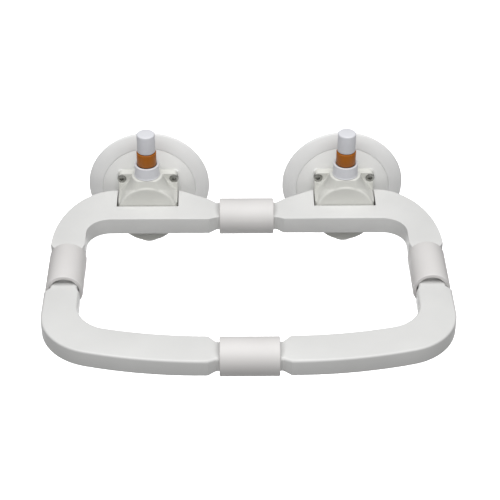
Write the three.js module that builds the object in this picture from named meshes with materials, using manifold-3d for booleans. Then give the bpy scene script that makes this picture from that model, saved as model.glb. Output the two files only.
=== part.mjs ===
// Suction grab bar: a level ring of flat bar, carried at the wall by two vacuum cups with hand pumps.
// Millimetres. +X runs along the wall, +Y points into the wall and +Z is up. The origin lies on the
// wall plane, midway between the cups and level with the middle of the bar.

import * as THREE from 'three';
import { mergeVertices } from 'three/addons/utils/BufferGeometryUtils.js';
import Module from 'manifold-3d';

// Overall sizes.
const CUP_SPACING = 193;
const RING_WIDTH = 336.4;
const RING_DEPTH = 214;
const WALL_SETBACK = 54;

// Flat bar, its necks and the spigots in the sleeves.
const BAR_WIDTH = 34;
const BAR_HEIGHT = 17.5;
const BAR_EDGE = 2;
const NECK_CLEARANCE = 1;
const NECK_HEIGHT = 15.5;
const NECK_EDGE = 5;
const NECK_LENGTH = 3;
const NECK_OVERLAP = 2;
const TAPER_LENGTH = 7;
const SPIGOT_INSET = 6;
const SPIGOT_CHAMFER = 1;

// Round coupling sleeves and the grub screws that lock them.
const SLEEVE_RADIUS = 17.3;
const SLEEVE_WALL = 3.8;
const SLEEVE_LENGTH = 52.5;
const SLEEVE_EDGE = 1;
const GRUB_RADIUS = 2.5;
const GRUB_LENGTH = 8;
const GRUB_INSET = 0.4;
const GRUB_FROM_END = 13;
const GRUB_SOCKET = 1.25;
const GRUB_SOCKET_DEPTH = 2.6;

// Front corners: a gently bowed length, then the corner bend and a short side arm. The bar is wider in
// front than in the arms, and its outer and inner edges bend on their own radii.
const BOW_RADIUS = 400;
const BEND_OUTER_RADIUS = 56;
const BEND_INNER_RADIUS = 34;
const FRONT_WIDTH = 36;
const ARM_WIDTH = 32;
const SIDE_SLEEVE_REACH = 119.7;

// Rear corners: the bar deepens towards the wall, where a notch takes the hub.
const CHEEK_DEPTH = 33;
const CHEEK_WALL = 0.6;
const REAR_INNER_RADIUS = 22;
const TONGUE_WIDTH = 32;
const TONGUE_HEIGHT = 12;
const TONGUE_RING_WALL = 3.3;

// Hub: a drum along Y, longer below, a bell-shaped tower for the pump and an ear plate for four screws.
const HUB_FRONT_WALL = 3.8;
const HUB_BACK_WALL = 2.5;
const DRUM_RADIUS = 28.8;
const DRUM_DROP = 4.6;
const DRUM_EDGE = 1.2;
const EAR_HALF_WIDTH = 29;
const EAR_HALF_HEIGHT = 27.5;
const EAR_THICKNESS = 8;
const EAR_CORNER = 5;
const TOWER_TOP = 35.6;
const TOWER_WALL = 3.7;
const TOWER_EDGE = 1;
const TOWER_FOOT_RADIUS = 30.1;
const TOWER_FOOT = 9;
const TOWER_WAIST_RADIUS = 19;
const TOWER_WAIST = 20;
const TOWER_SLANT = 2.6;
const TOWER_SLANT_DROP = 8.2;
const SWIVEL_SIDE_GAP = 1.2;
const SWIVEL_FRONT_GAP = 0.9;
const SWIVEL_SLOT_GAP = 1.5;

// Hub screws, placed from the sides and ends of the ear plate.
const SCREW_FROM_SIDE = 3.2;
const SCREW_FROM_END = 6.7;
const SCREW_RADIUS = 2.5;
const SCREW_HEAD_RADIUS = 4.2;
const SCREW_HEAD_EDGE = 0.4;
const SCREW_HEAD_HEIGHT = 4;
const SCREW_HEAD_DEPTH = 4.6;
const SCREW_SOCKET_RADIUS = 2.3;
const SCREW_SOCKET_DEPTH = 2.2;
const SCREW_GRIP = 4;

// Vacuum cup: the rigid plate, and the rubber pad with its flat sealing lip.
const CUP_RISE = 3;
const PAD_RADIUS = 60;
const PAD_LIP_WIDTH = 9;
const PAD_LIP_SLOPE = 2;
const PAD_EDGE = 3.5;
const PAD_BULGE = 0.6;
const PAD_HOLLOW = 3;
const PAD_SHOULDER_DROP = 0.2;
const PAD_SHOULDER_LAND = 1;
const PLATE_RADIUS = 46;
const PLATE_CHAMFER = 1;
const PLATE_FRONT = 15.7;
const PLATE_BACK = 8.2;
const PLATE_RIM = 5.2;
const PLATE_FLAT_RADIUS = 31;
const PLATE_CONE_DROP = 6.6;
const PLATE_BOSS_RADIUS = 4.6;
const PORT_RADIUS = 2;

// Hand pump.
const BARREL_RADIUS = 11;
const BARREL_WALL = 1.2;
const BARREL_REACH = 2.6;
const COLLAR_WALL = 0.7;
const COLLAR_TOP = 48;
const COLLAR_LIP = 1.4;
const COLLAR_FLANGE = 0.5;
const COLLAR_EDGE = 0.8;
const CAP_STEP = 0.7;
const CAP_TOP = 82;
const CAP_EDGE = 1.2;
const BAND_CLEARANCE = 0.3;
const BAND_EDGE = 0.5;
const BAND_HEIGHT = 13.4;
const BAND_LIFT = 0.3;
const CAP_SOCKET = 12;
const ROD_RADIUS = 4;
const PISTON_CLEARANCE = 0.4;
const PISTON_HEIGHT = 7;
const PISTON_BOTTOM = 12;
const SEAL_SECTION = 1.5;
const SEAL_GROOVE = 2.6;
const DOME_WALL = 1.1;
const DOME_INSET = 3.4;
const DOME_RIM = 2;
const DOME_DEPTH = 7.1;
const PORT_HEIGHT = -19;
const VALVE_RADIUS = 4.5;
const VALVE_THICKNESS = 1.6;
const VALVE_CHAMFER = 0.5;
const VALVE_STEM_RADIUS = 1.2;
const VALVE_STEM_LENGTH = 4;

// Return spring.
const SPRING_RADIUS = 6.6;
const SPRING_WIRE = 0.7;
const SPRING_TURNS = 6;

// Gap kept between two pieces that touch or are cut for each other, and how far a cut runs past a face.
const GAP = 0.3;
const OVERCUT = 1;

// Facets.
const ROUND = 32;
const SMALL_ROUND = 16;
const TINY_ROUND = 8;
const EDGE_DIVISIONS = 1;
const EAR_DIVISIONS = 2;
const FLANK_STEPS = 6;
const DOME_STEPS = 5;
const BEND_STEPS = 10;
const BOW_STEPS = 4;
const SEAL_SIDES = 6;
const HEX_SIDES = 6;
const SPRING_STEPS_PER_TURN = 8;
const SPRING_DIVISIONS = 2;

const wasm = await Module();
wasm.setup();

const WHITE_PLASTIC = new THREE.MeshStandardMaterial({ color: 0xe6e6e3, roughness: 0.42, metalness: 0 });
const SLEEVE_PLASTIC = new THREE.MeshStandardMaterial({ color: 0xe4e2df, roughness: 0.48, metalness: 0 });
const PAD_RUBBER = new THREE.MeshStandardMaterial({ color: 0xd9d9d5, roughness: 0.6, metalness: 0 });
const ORANGE_PLASTIC = new THREE.MeshStandardMaterial({ color: 0xc8640a, roughness: 0.4, metalness: 0 });
const STEEL = new THREE.MeshStandardMaterial({ color: 0x6f726f, roughness: 0.35, metalness: 1 });
const GREY_NYLON = new THREE.MeshStandardMaterial({ color: 0xb9bab6, roughness: 0.5, metalness: 0 });
const BLACK_RUBBER = new THREE.MeshStandardMaterial({ color: 0x26272a, roughness: 0.7, metalness: 0 });

const cupX = CUP_SPACING / 2;
const sideX = RING_WIDTH / 2;
const rearY = -WALL_SETBACK;
const frontY = rearY - RING_DEPTH;
const sleeveBore = SLEEVE_RADIUS - SLEEVE_WALL;
const neckWidth = 2 * (sleeveBore - NECK_CLEARANCE);
const barEnd = SLEEVE_LENGTH / 2 + NECK_LENGTH + TAPER_LENGTH;
const sleeveSideY = frontY + SIDE_SLEEVE_REACH;
const armInnerX = sideX + BAR_WIDTH / 2 - ARM_WIDTH;

// Radii and heights of the pump, from its barrel.
const barrelFit = BARREL_RADIUS + GAP;
const barrelBore = BARREL_RADIUS - BARREL_WALL;
const drumBottom = -DRUM_RADIUS - DRUM_DROP;
const barrelBottom = drumBottom - BARREL_REACH;
const collarRadius = barrelFit + COLLAR_WALL;
const domeRadius = barrelFit + DOME_WALL;
const domeSeatZ = drumBottom + DOME_INSET;
const domeBottom = drumBottom - DOME_DEPTH;
const towerRadius = barrelFit + TOWER_WALL;
const tongueRing = barrelFit + TONGUE_RING_WALL;
const pistonRadius = barrelBore - PISTON_CLEARANCE;
const bandRadius = barrelBore - BAND_CLEARANCE;
const capRadius = bandRadius - CAP_STEP;
const bandBottom = COLLAR_TOP + BAND_LIFT;
const capBottom = bandBottom + BAND_HEIGHT + GAP;

// Depths of the hub, from the plate it is screwed to.
const plateFrontY = -PLATE_FRONT;
const earBackY = plateFrontY - GAP;
const earFrontY = earBackY - EAR_THICKNESS;
const pumpY = earBackY - HUB_BACK_WALL - GAP - tongueRing;
const hubFrontY = pumpY - barrelFit - HUB_FRONT_WALL;
const notchFrontY = hubFrontY - SWIVEL_FRONT_GAP;
const notchHalf = Math.max(EAR_HALF_WIDTH, DRUM_RADIUS) + SWIVEL_SIDE_GAP;

// ---------- Geometry helpers ----------

function signedVolume(geometry) {
  const position = geometry.getAttribute('position');
  const index = geometry.getIndex();
  const [a, b, c] = [new THREE.Vector3(), new THREE.Vector3(), new THREE.Vector3()];
  let volume = 0;
  for (let i = 0; i < index.count; i += 3) {
    a.fromBufferAttribute(position, index.getX(i));
    b.fromBufferAttribute(position, index.getX(i + 1));
    c.fromBufferAttribute(position, index.getX(i + 2));
    volume += a.dot(b.cross(c)) / 6;
  }
  return volume;
}

// Merges shared vertices, drops collapsed triangles and turns the faces outwards.
function closed(geometry) {
  const bare = geometry.clone();
  bare.deleteAttribute('normal');
  bare.deleteAttribute('uv');
  const merged = mergeVertices(bare, 1e-4);
  const old = merged.getIndex();
  const kept = [];
  for (let i = 0; i < old.count; i += 3) {
    const [p, q, r] = [old.getX(i), old.getX(i + 1), old.getX(i + 2)];
    if (p !== q && q !== r && r !== p) kept.push(p, q, r);
  }
  merged.setIndex(kept);
  if (signedVolume(merged) < 0) {
    for (let i = 0; i < kept.length; i += 3) [kept[i + 1], kept[i + 2]] = [kept[i + 2], kept[i + 1]];
    merged.setIndex(kept);
  }
  return merged;
}

function solid(geometry) {
  const shape = closed(geometry);
  const vertProperties = new Float32Array(shape.getAttribute('position').array);
  const triVerts = new Uint32Array(shape.getIndex().array);
  return new wasm.Manifold(new wasm.Mesh({ numProp: 3, vertProperties, triVerts }));
}

function geometryOf(body) {
  const mesh = body.getMesh();
  const geometry = new THREE.BufferGeometry();
  geometry.setAttribute('position', new THREE.BufferAttribute(new Float32Array(mesh.vertProperties), 3));
  geometry.setIndex(new THREE.BufferAttribute(new Uint32Array(mesh.triVerts), 1));
  return geometry;
}

function join(first, ...others) {
  return others.reduce((body, other) => body.add(other), first);
}

function cut(first, ...others) {
  return others.reduce((body, other) => body.subtract(other), first);
}

// A turned shape about Z from [radius, height] pairs. A ring's profile closes on itself.
function turned(profile, segments, ring = false) {
  const points = profile.map(([r, z]) => new THREE.Vector2(r, z));
  if (ring) points.push(points[0].clone());
  return new THREE.LatheGeometry(points, segments).rotateX(Math.PI / 2);
}

// A turned shape about Y: heights run along +Y.
function turnedAlongY(profile, segments, ring = false) {
  return turned(profile, segments, ring).rotateX(-Math.PI / 2);
}

function rod(radius, from, to, segments) {
  return turned([[0, from], [radius, from], [radius, to], [0, to]], segments);
}

function rodAlongY(radius, from, to, segments) {
  return turnedAlongY([[0, from], [radius, from], [radius, to], [0, to]], segments);
}

function box(x0, x1, y0, y1, z0, z1) {
  const shape = new THREE.BoxGeometry(x1 - x0, y1 - y0, z1 - z0);
  return shape.translate((x0 + x1) / 2, (y0 + y1) / 2, (z0 + z1) / 2);
}

function roundedRectangle(halfWidth, halfHeight, radius) {
  const shape = new THREE.Shape();
  shape.moveTo(halfWidth, radius - halfHeight);
  shape.absarc(halfWidth - radius, halfHeight - radius, radius, 0, Math.PI / 2);
  shape.absarc(radius - halfWidth, halfHeight - radius, radius, Math.PI / 2, Math.PI);
  shape.absarc(radius - halfWidth, radius - halfHeight, radius, Math.PI, 1.5 * Math.PI);
  shape.absarc(halfWidth - radius, radius - halfHeight, radius, 1.5 * Math.PI, 2 * Math.PI);
  return shape;
}

// Skins rings of equal length in order and closes both ends.
function loft(rings) {
  const size = rings[0].length;
  const positions = rings.flat().flatMap((point) => [point.x, point.y, point.z]);
  const index = [];
  for (let k = 0; k + 1 < rings.length; k += 1) {
    for (let i = 0; i < size; i += 1) {
      const [a, b] = [k * size + i, k * size + ((i + 1) % size)];
      index.push(a, b, b + size, a, b + size, a + size);
    }
  }
  const last = (rings.length - 1) * size;
  for (let i = 1; i + 1 < size; i += 1) {
    index.push(0, i + 1, i);
    index.push(last, last + i, last + i + 1);
  }
  const geometry = new THREE.BufferGeometry();
  geometry.setAttribute('position', new THREE.Float32BufferAttribute(positions, 3));
  geometry.setIndex(index);
  return geometry;
}

// The bar's upright section between a point on its inner rail and one on its outer rail.
function barSection({ inner, outer, height, edge }) {
  const across = outer.clone().sub(inner);
  const halfWidth = across.length() / 2;
  const middle = inner.clone().add(outer).multiplyScalar(0.5);
  across.normalize();
  const radius = Math.min(edge, height / 2, halfWidth);
  const outline = roundedRectangle(halfWidth, height / 2, radius).getPoints(EDGE_DIVISIONS);
  return outline
    .filter((point, i) => i === 0 || point.distanceTo(outline[i - 1]) > 1e-6)
    .filter((point, i, all) => i + 1 < all.length || point.distanceTo(all[0]) > 1e-6)
    .map((point) => new THREE.Vector3(middle.x + across.x * point.x, middle.y + across.y * point.x, point.y));
}

// ---------- Ring ----------

// Stations of one bar end, from inside its sleeve to the full section. `along` points into the bar,
// `outwards` from the ring's inside to its outside, and `axis` is the sleeve's centre. The full section
// reaches half of BAR_WIDTH outwards; `width` is its whole width.
function endStations(axis, along, outwards, width) {
  const station = (distance, inside, outside, height, edge) => {
    const centre = axis.clone().addScaledVector(along, distance);
    const inner = centre.clone().addScaledVector(outwards, -inside);
    return { inner, outer: centre.addScaledVector(outwards, outside), height, edge };
  };
  const sleeveEnd = SLEEVE_LENGTH / 2;
  const neck = neckWidth / 2;
  const reach = BAR_WIDTH / 2;
  return [
    station(sleeveEnd - SPIGOT_INSET - NECK_OVERLAP, neck, neck, NECK_HEIGHT, NECK_EDGE),
    station(sleeveEnd + NECK_LENGTH, neck, neck, NECK_HEIGHT, NECK_EDGE),
    station(barEnd, width - reach, reach, BAR_HEIGHT, BAR_EDGE),
  ];
}

// The round spigot in a sleeve, with the seat of its grub screw, built along +X from the sleeve's centre.
function spigot() {
  const radius = sleeveBore - GAP;
  const end = SLEEVE_LENGTH / 2 - SPIGOT_INSET;
  const profile = [
    [0, GAP],
    [radius - SPIGOT_CHAMFER, GAP],
    [radius, GAP + SPIGOT_CHAMFER],
    [radius, end - SPIGOT_CHAMFER],
    [radius - SPIGOT_CHAMFER, end],
    [0, end],
  ];
  return solid(turned(profile, ROUND).rotateY(Math.PI / 2)).subtract(grubSeat());
}

function grubAxisX() {
  return SLEEVE_LENGTH / 2 - GRUB_FROM_END;
}

function grubSeat() {
  const top = GRUB_LENGTH + GRUB_INSET + GAP - SLEEVE_RADIUS;
  const hole = rod(GRUB_RADIUS + GAP, -SLEEVE_RADIUS - OVERCUT, top, TINY_ROUND);
  return solid(hole.translate(grubAxisX(), 0, 0));
}

function placed(body, axis, along) {
  const turn = THREE.MathUtils.radToDeg(Math.atan2(along.y, along.x));
  return body.rotate([0, 0, turn]).translate([axis.x, axis.y, 0]);
}

// Sleeve centres and directions for the right-hand half of the ring.
const rearAxis = new THREE.Vector2(0, rearY);
const frontAxis = new THREE.Vector2(0, frontY);
const sideAxis = new THREE.Vector2(sideX, sleeveSideY);
const toRight = new THREE.Vector2(1, 0);
const toWall = new THREE.Vector2(0, 1);
const fromWall = new THREE.Vector2(0, -1);

// One edge of a front corner: the bow, from the front sleeve's side, then the bend round to a side arm.
function frontRail({ bow, bend, front, side }) {
  const angle = Math.asin((side - bend - barEnd) / (bow - bend));
  const arc = (centreX, centreY, radius, from, to, steps) =>
    Array.from({ length: steps }, (_, k) => {
      const turn = from + ((to - from) * (k + 1)) / steps;
      return new THREE.Vector2(centreX + radius * Math.sin(turn), centreY - radius * Math.cos(turn));
    });
  const bendY = front + bow - (bow - bend) * Math.cos(angle);
  return [
    ...arc(barEnd, front + bow, bow, 0, angle, BOW_STEPS),
    ...arc(side - bend, bendY, bend, angle, Math.PI / 2, BEND_STEPS),
  ];
}

function frontCornerStations() {
  const half = BAR_WIDTH / 2;
  const outer = frontRail({
    bow: BOW_RADIUS + half, bend: BEND_OUTER_RADIUS, front: frontY - half, side: sideX + half,
  });
  const inner = frontRail({
    bow: BOW_RADIUS - half, bend: BEND_INNER_RADIUS, front: frontY - half + FRONT_WIDTH, side: armInnerX,
  });
  return [
    ...endStations(frontAxis, toRight, fromWall, FRONT_WIDTH),
    ...outer.map((point, i) => ({ inner: inner[i], outer: point, height: BAR_HEIGHT, edge: BAR_EDGE })),
    ...endStations(sideAxis, fromWall, toRight, ARM_WIDTH).reverse(),
  ];
}

function frontCorner() {
  return join(
    solid(loft(frontCornerStations().map(barSection))),
    placed(spigot(), frontAxis, toRight),
    placed(spigot(), sideAxis, fromWall),
  );
}

function rearCornerStations() {
  const half = BAR_WIDTH / 2;
  const cheekY = rearY + CHEEK_DEPTH;
  const cheek = notchHalf + CHEEK_WALL;
  const armY = sleeveSideY + barEnd;
  const full = (innerX, innerY, outerX, outerY) => ({
    inner: new THREE.Vector2(innerX, innerY),
    outer: new THREE.Vector2(outerX, outerY),
    height: BAR_HEIGHT,
    edge: BAR_EDGE,
  });
  const stations = endStations(rearAxis, toRight, toWall, BAR_WIDTH);
  stations.push(full(cupX - cheek, rearY - half, cupX - cheek, cheekY));
  const outerStart = cupX + cheek;
  const outer = new THREE.EllipseCurve(
    outerStart, armY, sideX + half - outerStart, cheekY - armY, Math.PI / 2, 0, true,
  );
  const innerRadius = Math.min(REAR_INNER_RADIUS, rearY - half - armY, armInnerX - outerStart);
  const inner = new THREE.Path();
  inner.moveTo(outerStart, rearY - half);
  inner.lineTo(armInnerX - innerRadius, rearY - half);
  inner.absarc(armInnerX - innerRadius, rearY - half - innerRadius, innerRadius, Math.PI / 2, 0, true);
  inner.lineTo(armInnerX, armY);
  const steps = BEND_STEPS + BOW_STEPS;
  const innerPoints = inner.getSpacedPoints(steps);
  outer.getSpacedPoints(steps).forEach((point, i) => {
    stations.push(full(innerPoints[i].x, innerPoints[i].y, point.x, point.y));
  });
  stations.pop();
  return stations.concat(endStations(sideAxis, toWall, toRight, ARM_WIDTH).reverse());
}

// The tongue reaches into the hub and rings the pump barrel, which is its swivel pin.
function tongue() {
  const half = Math.max(TONGUE_WIDTH / 2, tongueRing);
  const low = -TONGUE_HEIGHT / 2;
  const arm = box(-half, half, notchFrontY - BAR_EDGE, pumpY, low, -low);
  const end = rod(tongueRing, low, -low, ROUND).translate(0, pumpY, 0);
  return join(solid(arm), solid(end));
}

function rearCorner() {
  const reach = rearY + CHEEK_DEPTH + OVERCUT;
  const notch = box(-notchHalf, notchHalf, notchFrontY, reach, -BAR_HEIGHT, BAR_HEIGHT);
  const hole = rod(barrelFit, -BAR_HEIGHT, BAR_HEIGHT, ROUND).translate(0, pumpY, 0);
  const bar = solid(loft(rearCornerStations().map(barSection)));
  return join(
    cut(bar, solid(notch).translate([cupX, 0, 0])),
    cut(tongue(), solid(hole)).translate([cupX, 0, 0]),
    placed(spigot(), rearAxis, toRight),
    placed(spigot(), sideAxis, toWall),
  );
}

function sleeve() {
  const [r0, r1, half, e] = [sleeveBore, SLEEVE_RADIUS, SLEEVE_LENGTH / 2, SLEEVE_EDGE];
  const k = e * (1 - Math.SQRT1_2);
  const profile = [
    [r0, e - half], [r0 + e, -half], [r1 - e, -half], [r1 - k, k - half], [r1, e - half],
    [r1, half - e], [r1 - k, half - k], [r1 - e, half], [r0 + e, half], [r0, half - e],
  ];
  const seat = grubSeat();
  const tube = solid(turned(profile, ROUND, true).rotateY(Math.PI / 2));
  return cut(tube, seat, seat.mirror([1, 0, 0]));
}

// A headless screw with a six-sided socket, pointing up, its foot at the sleeve's underside.
function grubScrew() {
  const foot = GRUB_INSET - SLEEVE_RADIUS;
  const body = solid(rod(GRUB_RADIUS, foot, foot + GRUB_LENGTH, TINY_ROUND));
  return cut(body, solid(rod(GRUB_SOCKET, foot - OVERCUT, foot + GRUB_SOCKET_DEPTH, HEX_SIDES)));
}

// ---------- Hub and cup, built about the cup's own X ----------

// The drum, with a chamfered front edge: two discs, one above the other, with a shell drawn round them.
function drum() {
  const profile = [
    [0, hubFrontY], [DRUM_RADIUS - DRUM_EDGE, hubFrontY], [DRUM_RADIUS, hubFrontY + DRUM_EDGE],
    [DRUM_RADIUS, earFrontY + OVERCUT], [0, earFrontY + OVERCUT],
  ];
  const disc = solid(turnedAlongY(profile, ROUND));
  return join(disc, disc.translate([0, 0, -DRUM_DROP])).hull();
}

function towerProfile() {
  const flank = new THREE.QuadraticBezierCurve(
    new THREE.Vector2(TOWER_FOOT_RADIUS, TOWER_FOOT),
    new THREE.Vector2(TOWER_WAIST_RADIUS, TOWER_WAIST),
    new THREE.Vector2(towerRadius, TOWER_TOP - TOWER_EDGE),
  );
  const curve = flank.getPoints(FLANK_STEPS).map((point) => [point.x, point.y]);
  return [[0, 0], [TOWER_FOOT_RADIUS, 0], ...curve, [towerRadius - TOWER_EDGE, TOWER_TOP], [0, TOWER_TOP]];
}

// The side outline that trims the tower: upright in front, then leaning back to the tower's top.
function towerTrim() {
  const outline = new THREE.Shape([
    new THREE.Vector2(hubFrontY, -OVERCUT),
    new THREE.Vector2(hubFrontY, TOWER_TOP - TOWER_SLANT_DROP),
    new THREE.Vector2(hubFrontY + TOWER_SLANT, TOWER_TOP + OVERCUT),
    new THREE.Vector2(earFrontY + OVERCUT, TOWER_TOP + OVERCUT),
    new THREE.Vector2(earFrontY + OVERCUT, -OVERCUT),
  ]);
  const prism = new THREE.ExtrudeGeometry(outline, { depth: 2 * EAR_HALF_WIDTH, bevelEnabled: false });
  const turn = new THREE.Matrix4().makeBasis(
    new THREE.Vector3(0, 1, 0), new THREE.Vector3(0, 0, 1), new THREE.Vector3(1, 0, 0),
  );
  return solid(prism.applyMatrix4(turn).translate(-EAR_HALF_WIDTH, 0, 0));
}

function earPlate() {
  const outline = roundedRectangle(EAR_HALF_WIDTH, EAR_HALF_HEIGHT, EAR_CORNER);
  const options = { depth: EAR_THICKNESS, bevelEnabled: false, curveSegments: EAR_DIVISIONS };
  const plate = new THREE.ExtrudeGeometry(outline, options).rotateX(Math.PI / 2);
  return solid(plate.translate(0, earBackY, CUP_RISE));
}

function screwPlaces() {
  const x = EAR_HALF_WIDTH - SCREW_FROM_SIDE;
  const rise = EAR_HALF_HEIGHT - SCREW_FROM_END;
  return [
    { name: 'upper_inner', x: -x, z: CUP_RISE + rise },
    { name: 'upper_outer', x, z: CUP_RISE + rise },
    { name: 'lower_inner', x: -x, z: CUP_RISE - rise },
    { name: 'lower_outer', x, z: CUP_RISE - rise },
  ];
}

function hubScrewHole({ x, z }) {
  const shank = rodAlongY(SCREW_RADIUS + GAP, hubFrontY, plateFrontY + SCREW_GRIP + GAP, TINY_ROUND);
  const head = rodAlongY(SCREW_HEAD_RADIUS + GAP, hubFrontY, earFrontY + SCREW_HEAD_DEPTH, SMALL_ROUND);
  return join(solid(shank), solid(head)).translate([x, 0, z]);
}

function hubScrew({ x, z }) {
  const seat = earFrontY + SCREW_HEAD_DEPTH - GAP;
  const top = seat - SCREW_HEAD_HEIGHT;
  const end = plateFrontY + SCREW_GRIP;
  const profile = [
    [0, top], [SCREW_HEAD_RADIUS - SCREW_HEAD_EDGE, top], [SCREW_HEAD_RADIUS, top + SCREW_HEAD_EDGE],
    [SCREW_HEAD_RADIUS, seat], [SCREW_RADIUS, seat], [SCREW_RADIUS, end], [0, end],
  ];
  const socket = rodAlongY(SCREW_SOCKET_RADIUS, top - OVERCUT, top + SCREW_SOCKET_DEPTH, HEX_SIDES);
  return cut(solid(turnedAlongY(profile, TINY_ROUND)), solid(socket)).translate([x, 0, z]);
}

function tongueSlot() {
  const half = Math.max(TONGUE_WIDTH / 2 + SWIVEL_SLOT_GAP, tongueRing + GAP);
  const high = TONGUE_HEIGHT / 2 + GAP;
  const past = half + OVERCUT;
  const mouth = box(-half, half, hubFrontY - OVERCUT, pumpY, -high, high);
  const end = rod(half, -high, high, ROUND).translate(0, pumpY, 0);
  const backWall = box(-past, past, pumpY + tongueRing + GAP, pumpY + past, -past, past);
  return join(solid(mouth), solid(end)).subtract(solid(backWall));
}

function hubHousing() {
  const tower = solid(turned(towerProfile(), ROUND).translate(0, pumpY, 0)).intersect(towerTrim());
  const bore = rod(barrelFit, barrelBottom, COLLAR_TOP, ROUND).translate(0, pumpY, 0);
  const passage = rodAlongY(PORT_RADIUS, pumpY, earBackY + OVERCUT, TINY_ROUND).translate(0, 0, PORT_HEIGHT);
  const pocketDepth = VALVE_THICKNESS + VALVE_STEM_LENGTH + 2 * GAP;
  const pocket = rodAlongY(VALVE_RADIUS + GAP, earBackY - pocketDepth, earBackY + OVERCUT, SMALL_ROUND);
  const collarSeat = rod(collarRadius + COLLAR_FLANGE + GAP, TOWER_TOP, COLLAR_TOP, ROUND);
  const domeSeat = rod(domeRadius + GAP, domeBottom, domeSeatZ, ROUND);
  return cut(
    join(drum(), tower, earPlate()),
    solid(bore),
    solid(collarSeat).translate([0, pumpY, 0]),
    solid(domeSeat).translate([0, pumpY, 0]),
    tongueSlot(),
    solid(passage),
    solid(pocket.translate(0, 0, PORT_HEIGHT)),
    ...screwPlaces().map(hubScrewHole),
  );
}

// A mushroom valve in the pocket behind the hub: its disc covers the plate's port.
function checkValve() {
  const back = earBackY;
  const disc = back - VALVE_THICKNESS;
  const stem = disc - VALVE_STEM_LENGTH;
  const profile = [
    [0, stem], [VALVE_STEM_RADIUS, stem], [VALVE_STEM_RADIUS, disc], [VALVE_RADIUS, disc + VALVE_CHAMFER],
    [VALVE_RADIUS, back], [0, back],
  ];
  return solid(turnedAlongY(profile, SMALL_ROUND)).translate([0, 0, PORT_HEIGHT]);
}

// Heights in the two cup profiles are distances from the wall.
function fromWallProfile(profile) {
  return profile.map(([r, wall]) => [r, -wall]);
}

function backingPlate() {
  const rimFront = PLATE_FRONT - PLATE_CONE_DROP;
  const profile = fromWallProfile([
    [0, PLATE_BACK], [PLATE_FLAT_RADIUS, PLATE_BACK], [PLATE_RADIUS - PLATE_CHAMFER, PLATE_RIM],
    [PLATE_RADIUS, PLATE_RIM + PLATE_CHAMFER], [PLATE_RADIUS, rimFront - PLATE_CHAMFER],
    [PLATE_RADIUS - PLATE_CHAMFER, rimFront], [PLATE_FLAT_RADIUS, PLATE_FRONT], [0, PLATE_FRONT],
  ]);
  const plate = solid(turnedAlongY(profile, ROUND)).translate([0, 0, CUP_RISE]);
  const bosses = screwPlaces().map(({ x, z }) => {
    const boss = rodAlongY(PLATE_BOSS_RADIUS, plateFrontY, -PLATE_BACK - OVERCUT, SMALL_ROUND);
    return solid(boss).translate([x, 0, z]);
  });
  const seats = screwPlaces().map(({ x, z }) => {
    const seat = rodAlongY(SCREW_RADIUS + GAP, hubFrontY, plateFrontY + SCREW_GRIP + GAP, TINY_ROUND);
    return solid(seat).translate([x, 0, z]);
  });
  const port = solid(rodAlongY(PORT_RADIUS, hubFrontY, 0, TINY_ROUND)).translate([0, 0, PORT_HEIGHT]);
  return cut(join(plate, ...bosses), ...seats, port);
}

function suctionPad() {
  const back = PLATE_BACK - GAP;
  const rimBack = PLATE_RIM - GAP;
  const shoulder = PLATE_FRONT - PLATE_CONE_DROP - PAD_SHOULDER_DROP;
  const socket = PLATE_RADIUS + GAP;
  const lip = PAD_RADIUS - PAD_LIP_WIDTH;
  const profile = fromWallProfile([
    [0, back], [PLATE_FLAT_RADIUS, back], [PLATE_RADIUS - PLATE_CHAMFER, rimBack],
    [socket, rimBack + PLATE_CHAMFER], [socket, shoulder], [socket + PAD_SHOULDER_LAND, shoulder],
    [PAD_RADIUS - PAD_BULGE, PAD_EDGE], [PAD_RADIUS, PAD_EDGE / 2], [PAD_RADIUS - PAD_BULGE, 0], [lip, 0],
    [lip - PAD_LIP_SLOPE, PAD_HOLLOW / 2], [PLATE_FLAT_RADIUS, PAD_HOLLOW], [0, PAD_HOLLOW],
  ]);
  const port = solid(rodAlongY(PORT_RADIUS, plateFrontY, 0, TINY_ROUND)).translate([0, 0, PORT_HEIGHT]);
  return cut(solid(turnedAlongY(profile, ROUND)).translate([0, 0, CUP_RISE]), port);
}

// ---------- Pump, built about its own upright axis ----------

function pumpBarrel() {
  const top = COLLAR_TOP - COLLAR_LIP - GAP;
  const profile = [
    [barrelBore, barrelBottom], [BARREL_RADIUS, barrelBottom], [BARREL_RADIUS, top], [barrelBore, top],
  ];
  const port = solid(rodAlongY(PORT_RADIUS, 0, 2 * BARREL_RADIUS, TINY_ROUND)).translate([0, 0, PORT_HEIGHT]);
  return cut(solid(turned(profile, SMALL_ROUND, true)), port);
}

function pumpCollar() {
  const bottom = TOWER_TOP + GAP;
  const flange = collarRadius + COLLAR_FLANGE;
  const profile = [
    [barrelFit, bottom], [flange, bottom], [flange, bottom + COLLAR_FLANGE],
    [collarRadius, bottom + 2 * COLLAR_FLANGE], [collarRadius, COLLAR_TOP - COLLAR_EDGE],
    [collarRadius - COLLAR_EDGE, COLLAR_TOP], [barrelBore, COLLAR_TOP],
    [barrelBore, COLLAR_TOP - COLLAR_LIP], [barrelFit, COLLAR_TOP - COLLAR_LIP],
  ];
  return solid(turned(profile, SMALL_ROUND, true));
}

function domeArc(radius, top, bottom, steps) {
  return Array.from({ length: steps }, (_, i) => {
    const turn = (Math.PI / 2) * (i / steps);
    return [radius * Math.cos(turn), top + (bottom - top) * Math.sin(turn)];
  });
}

// The cap under the hub closes the barrel from outside and seats the return spring.
function barrelEndCap() {
  const top = domeSeatZ - GAP;
  const seat = barrelBottom - GAP;
  const profile = [
    [0, seat], [barrelFit, seat], [barrelFit, top], [domeRadius, top],
    ...domeArc(domeRadius, top - DOME_RIM, domeBottom, DOME_STEPS), [0, domeBottom],
  ];
  return solid(turned(profile, SMALL_ROUND));
}

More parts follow.
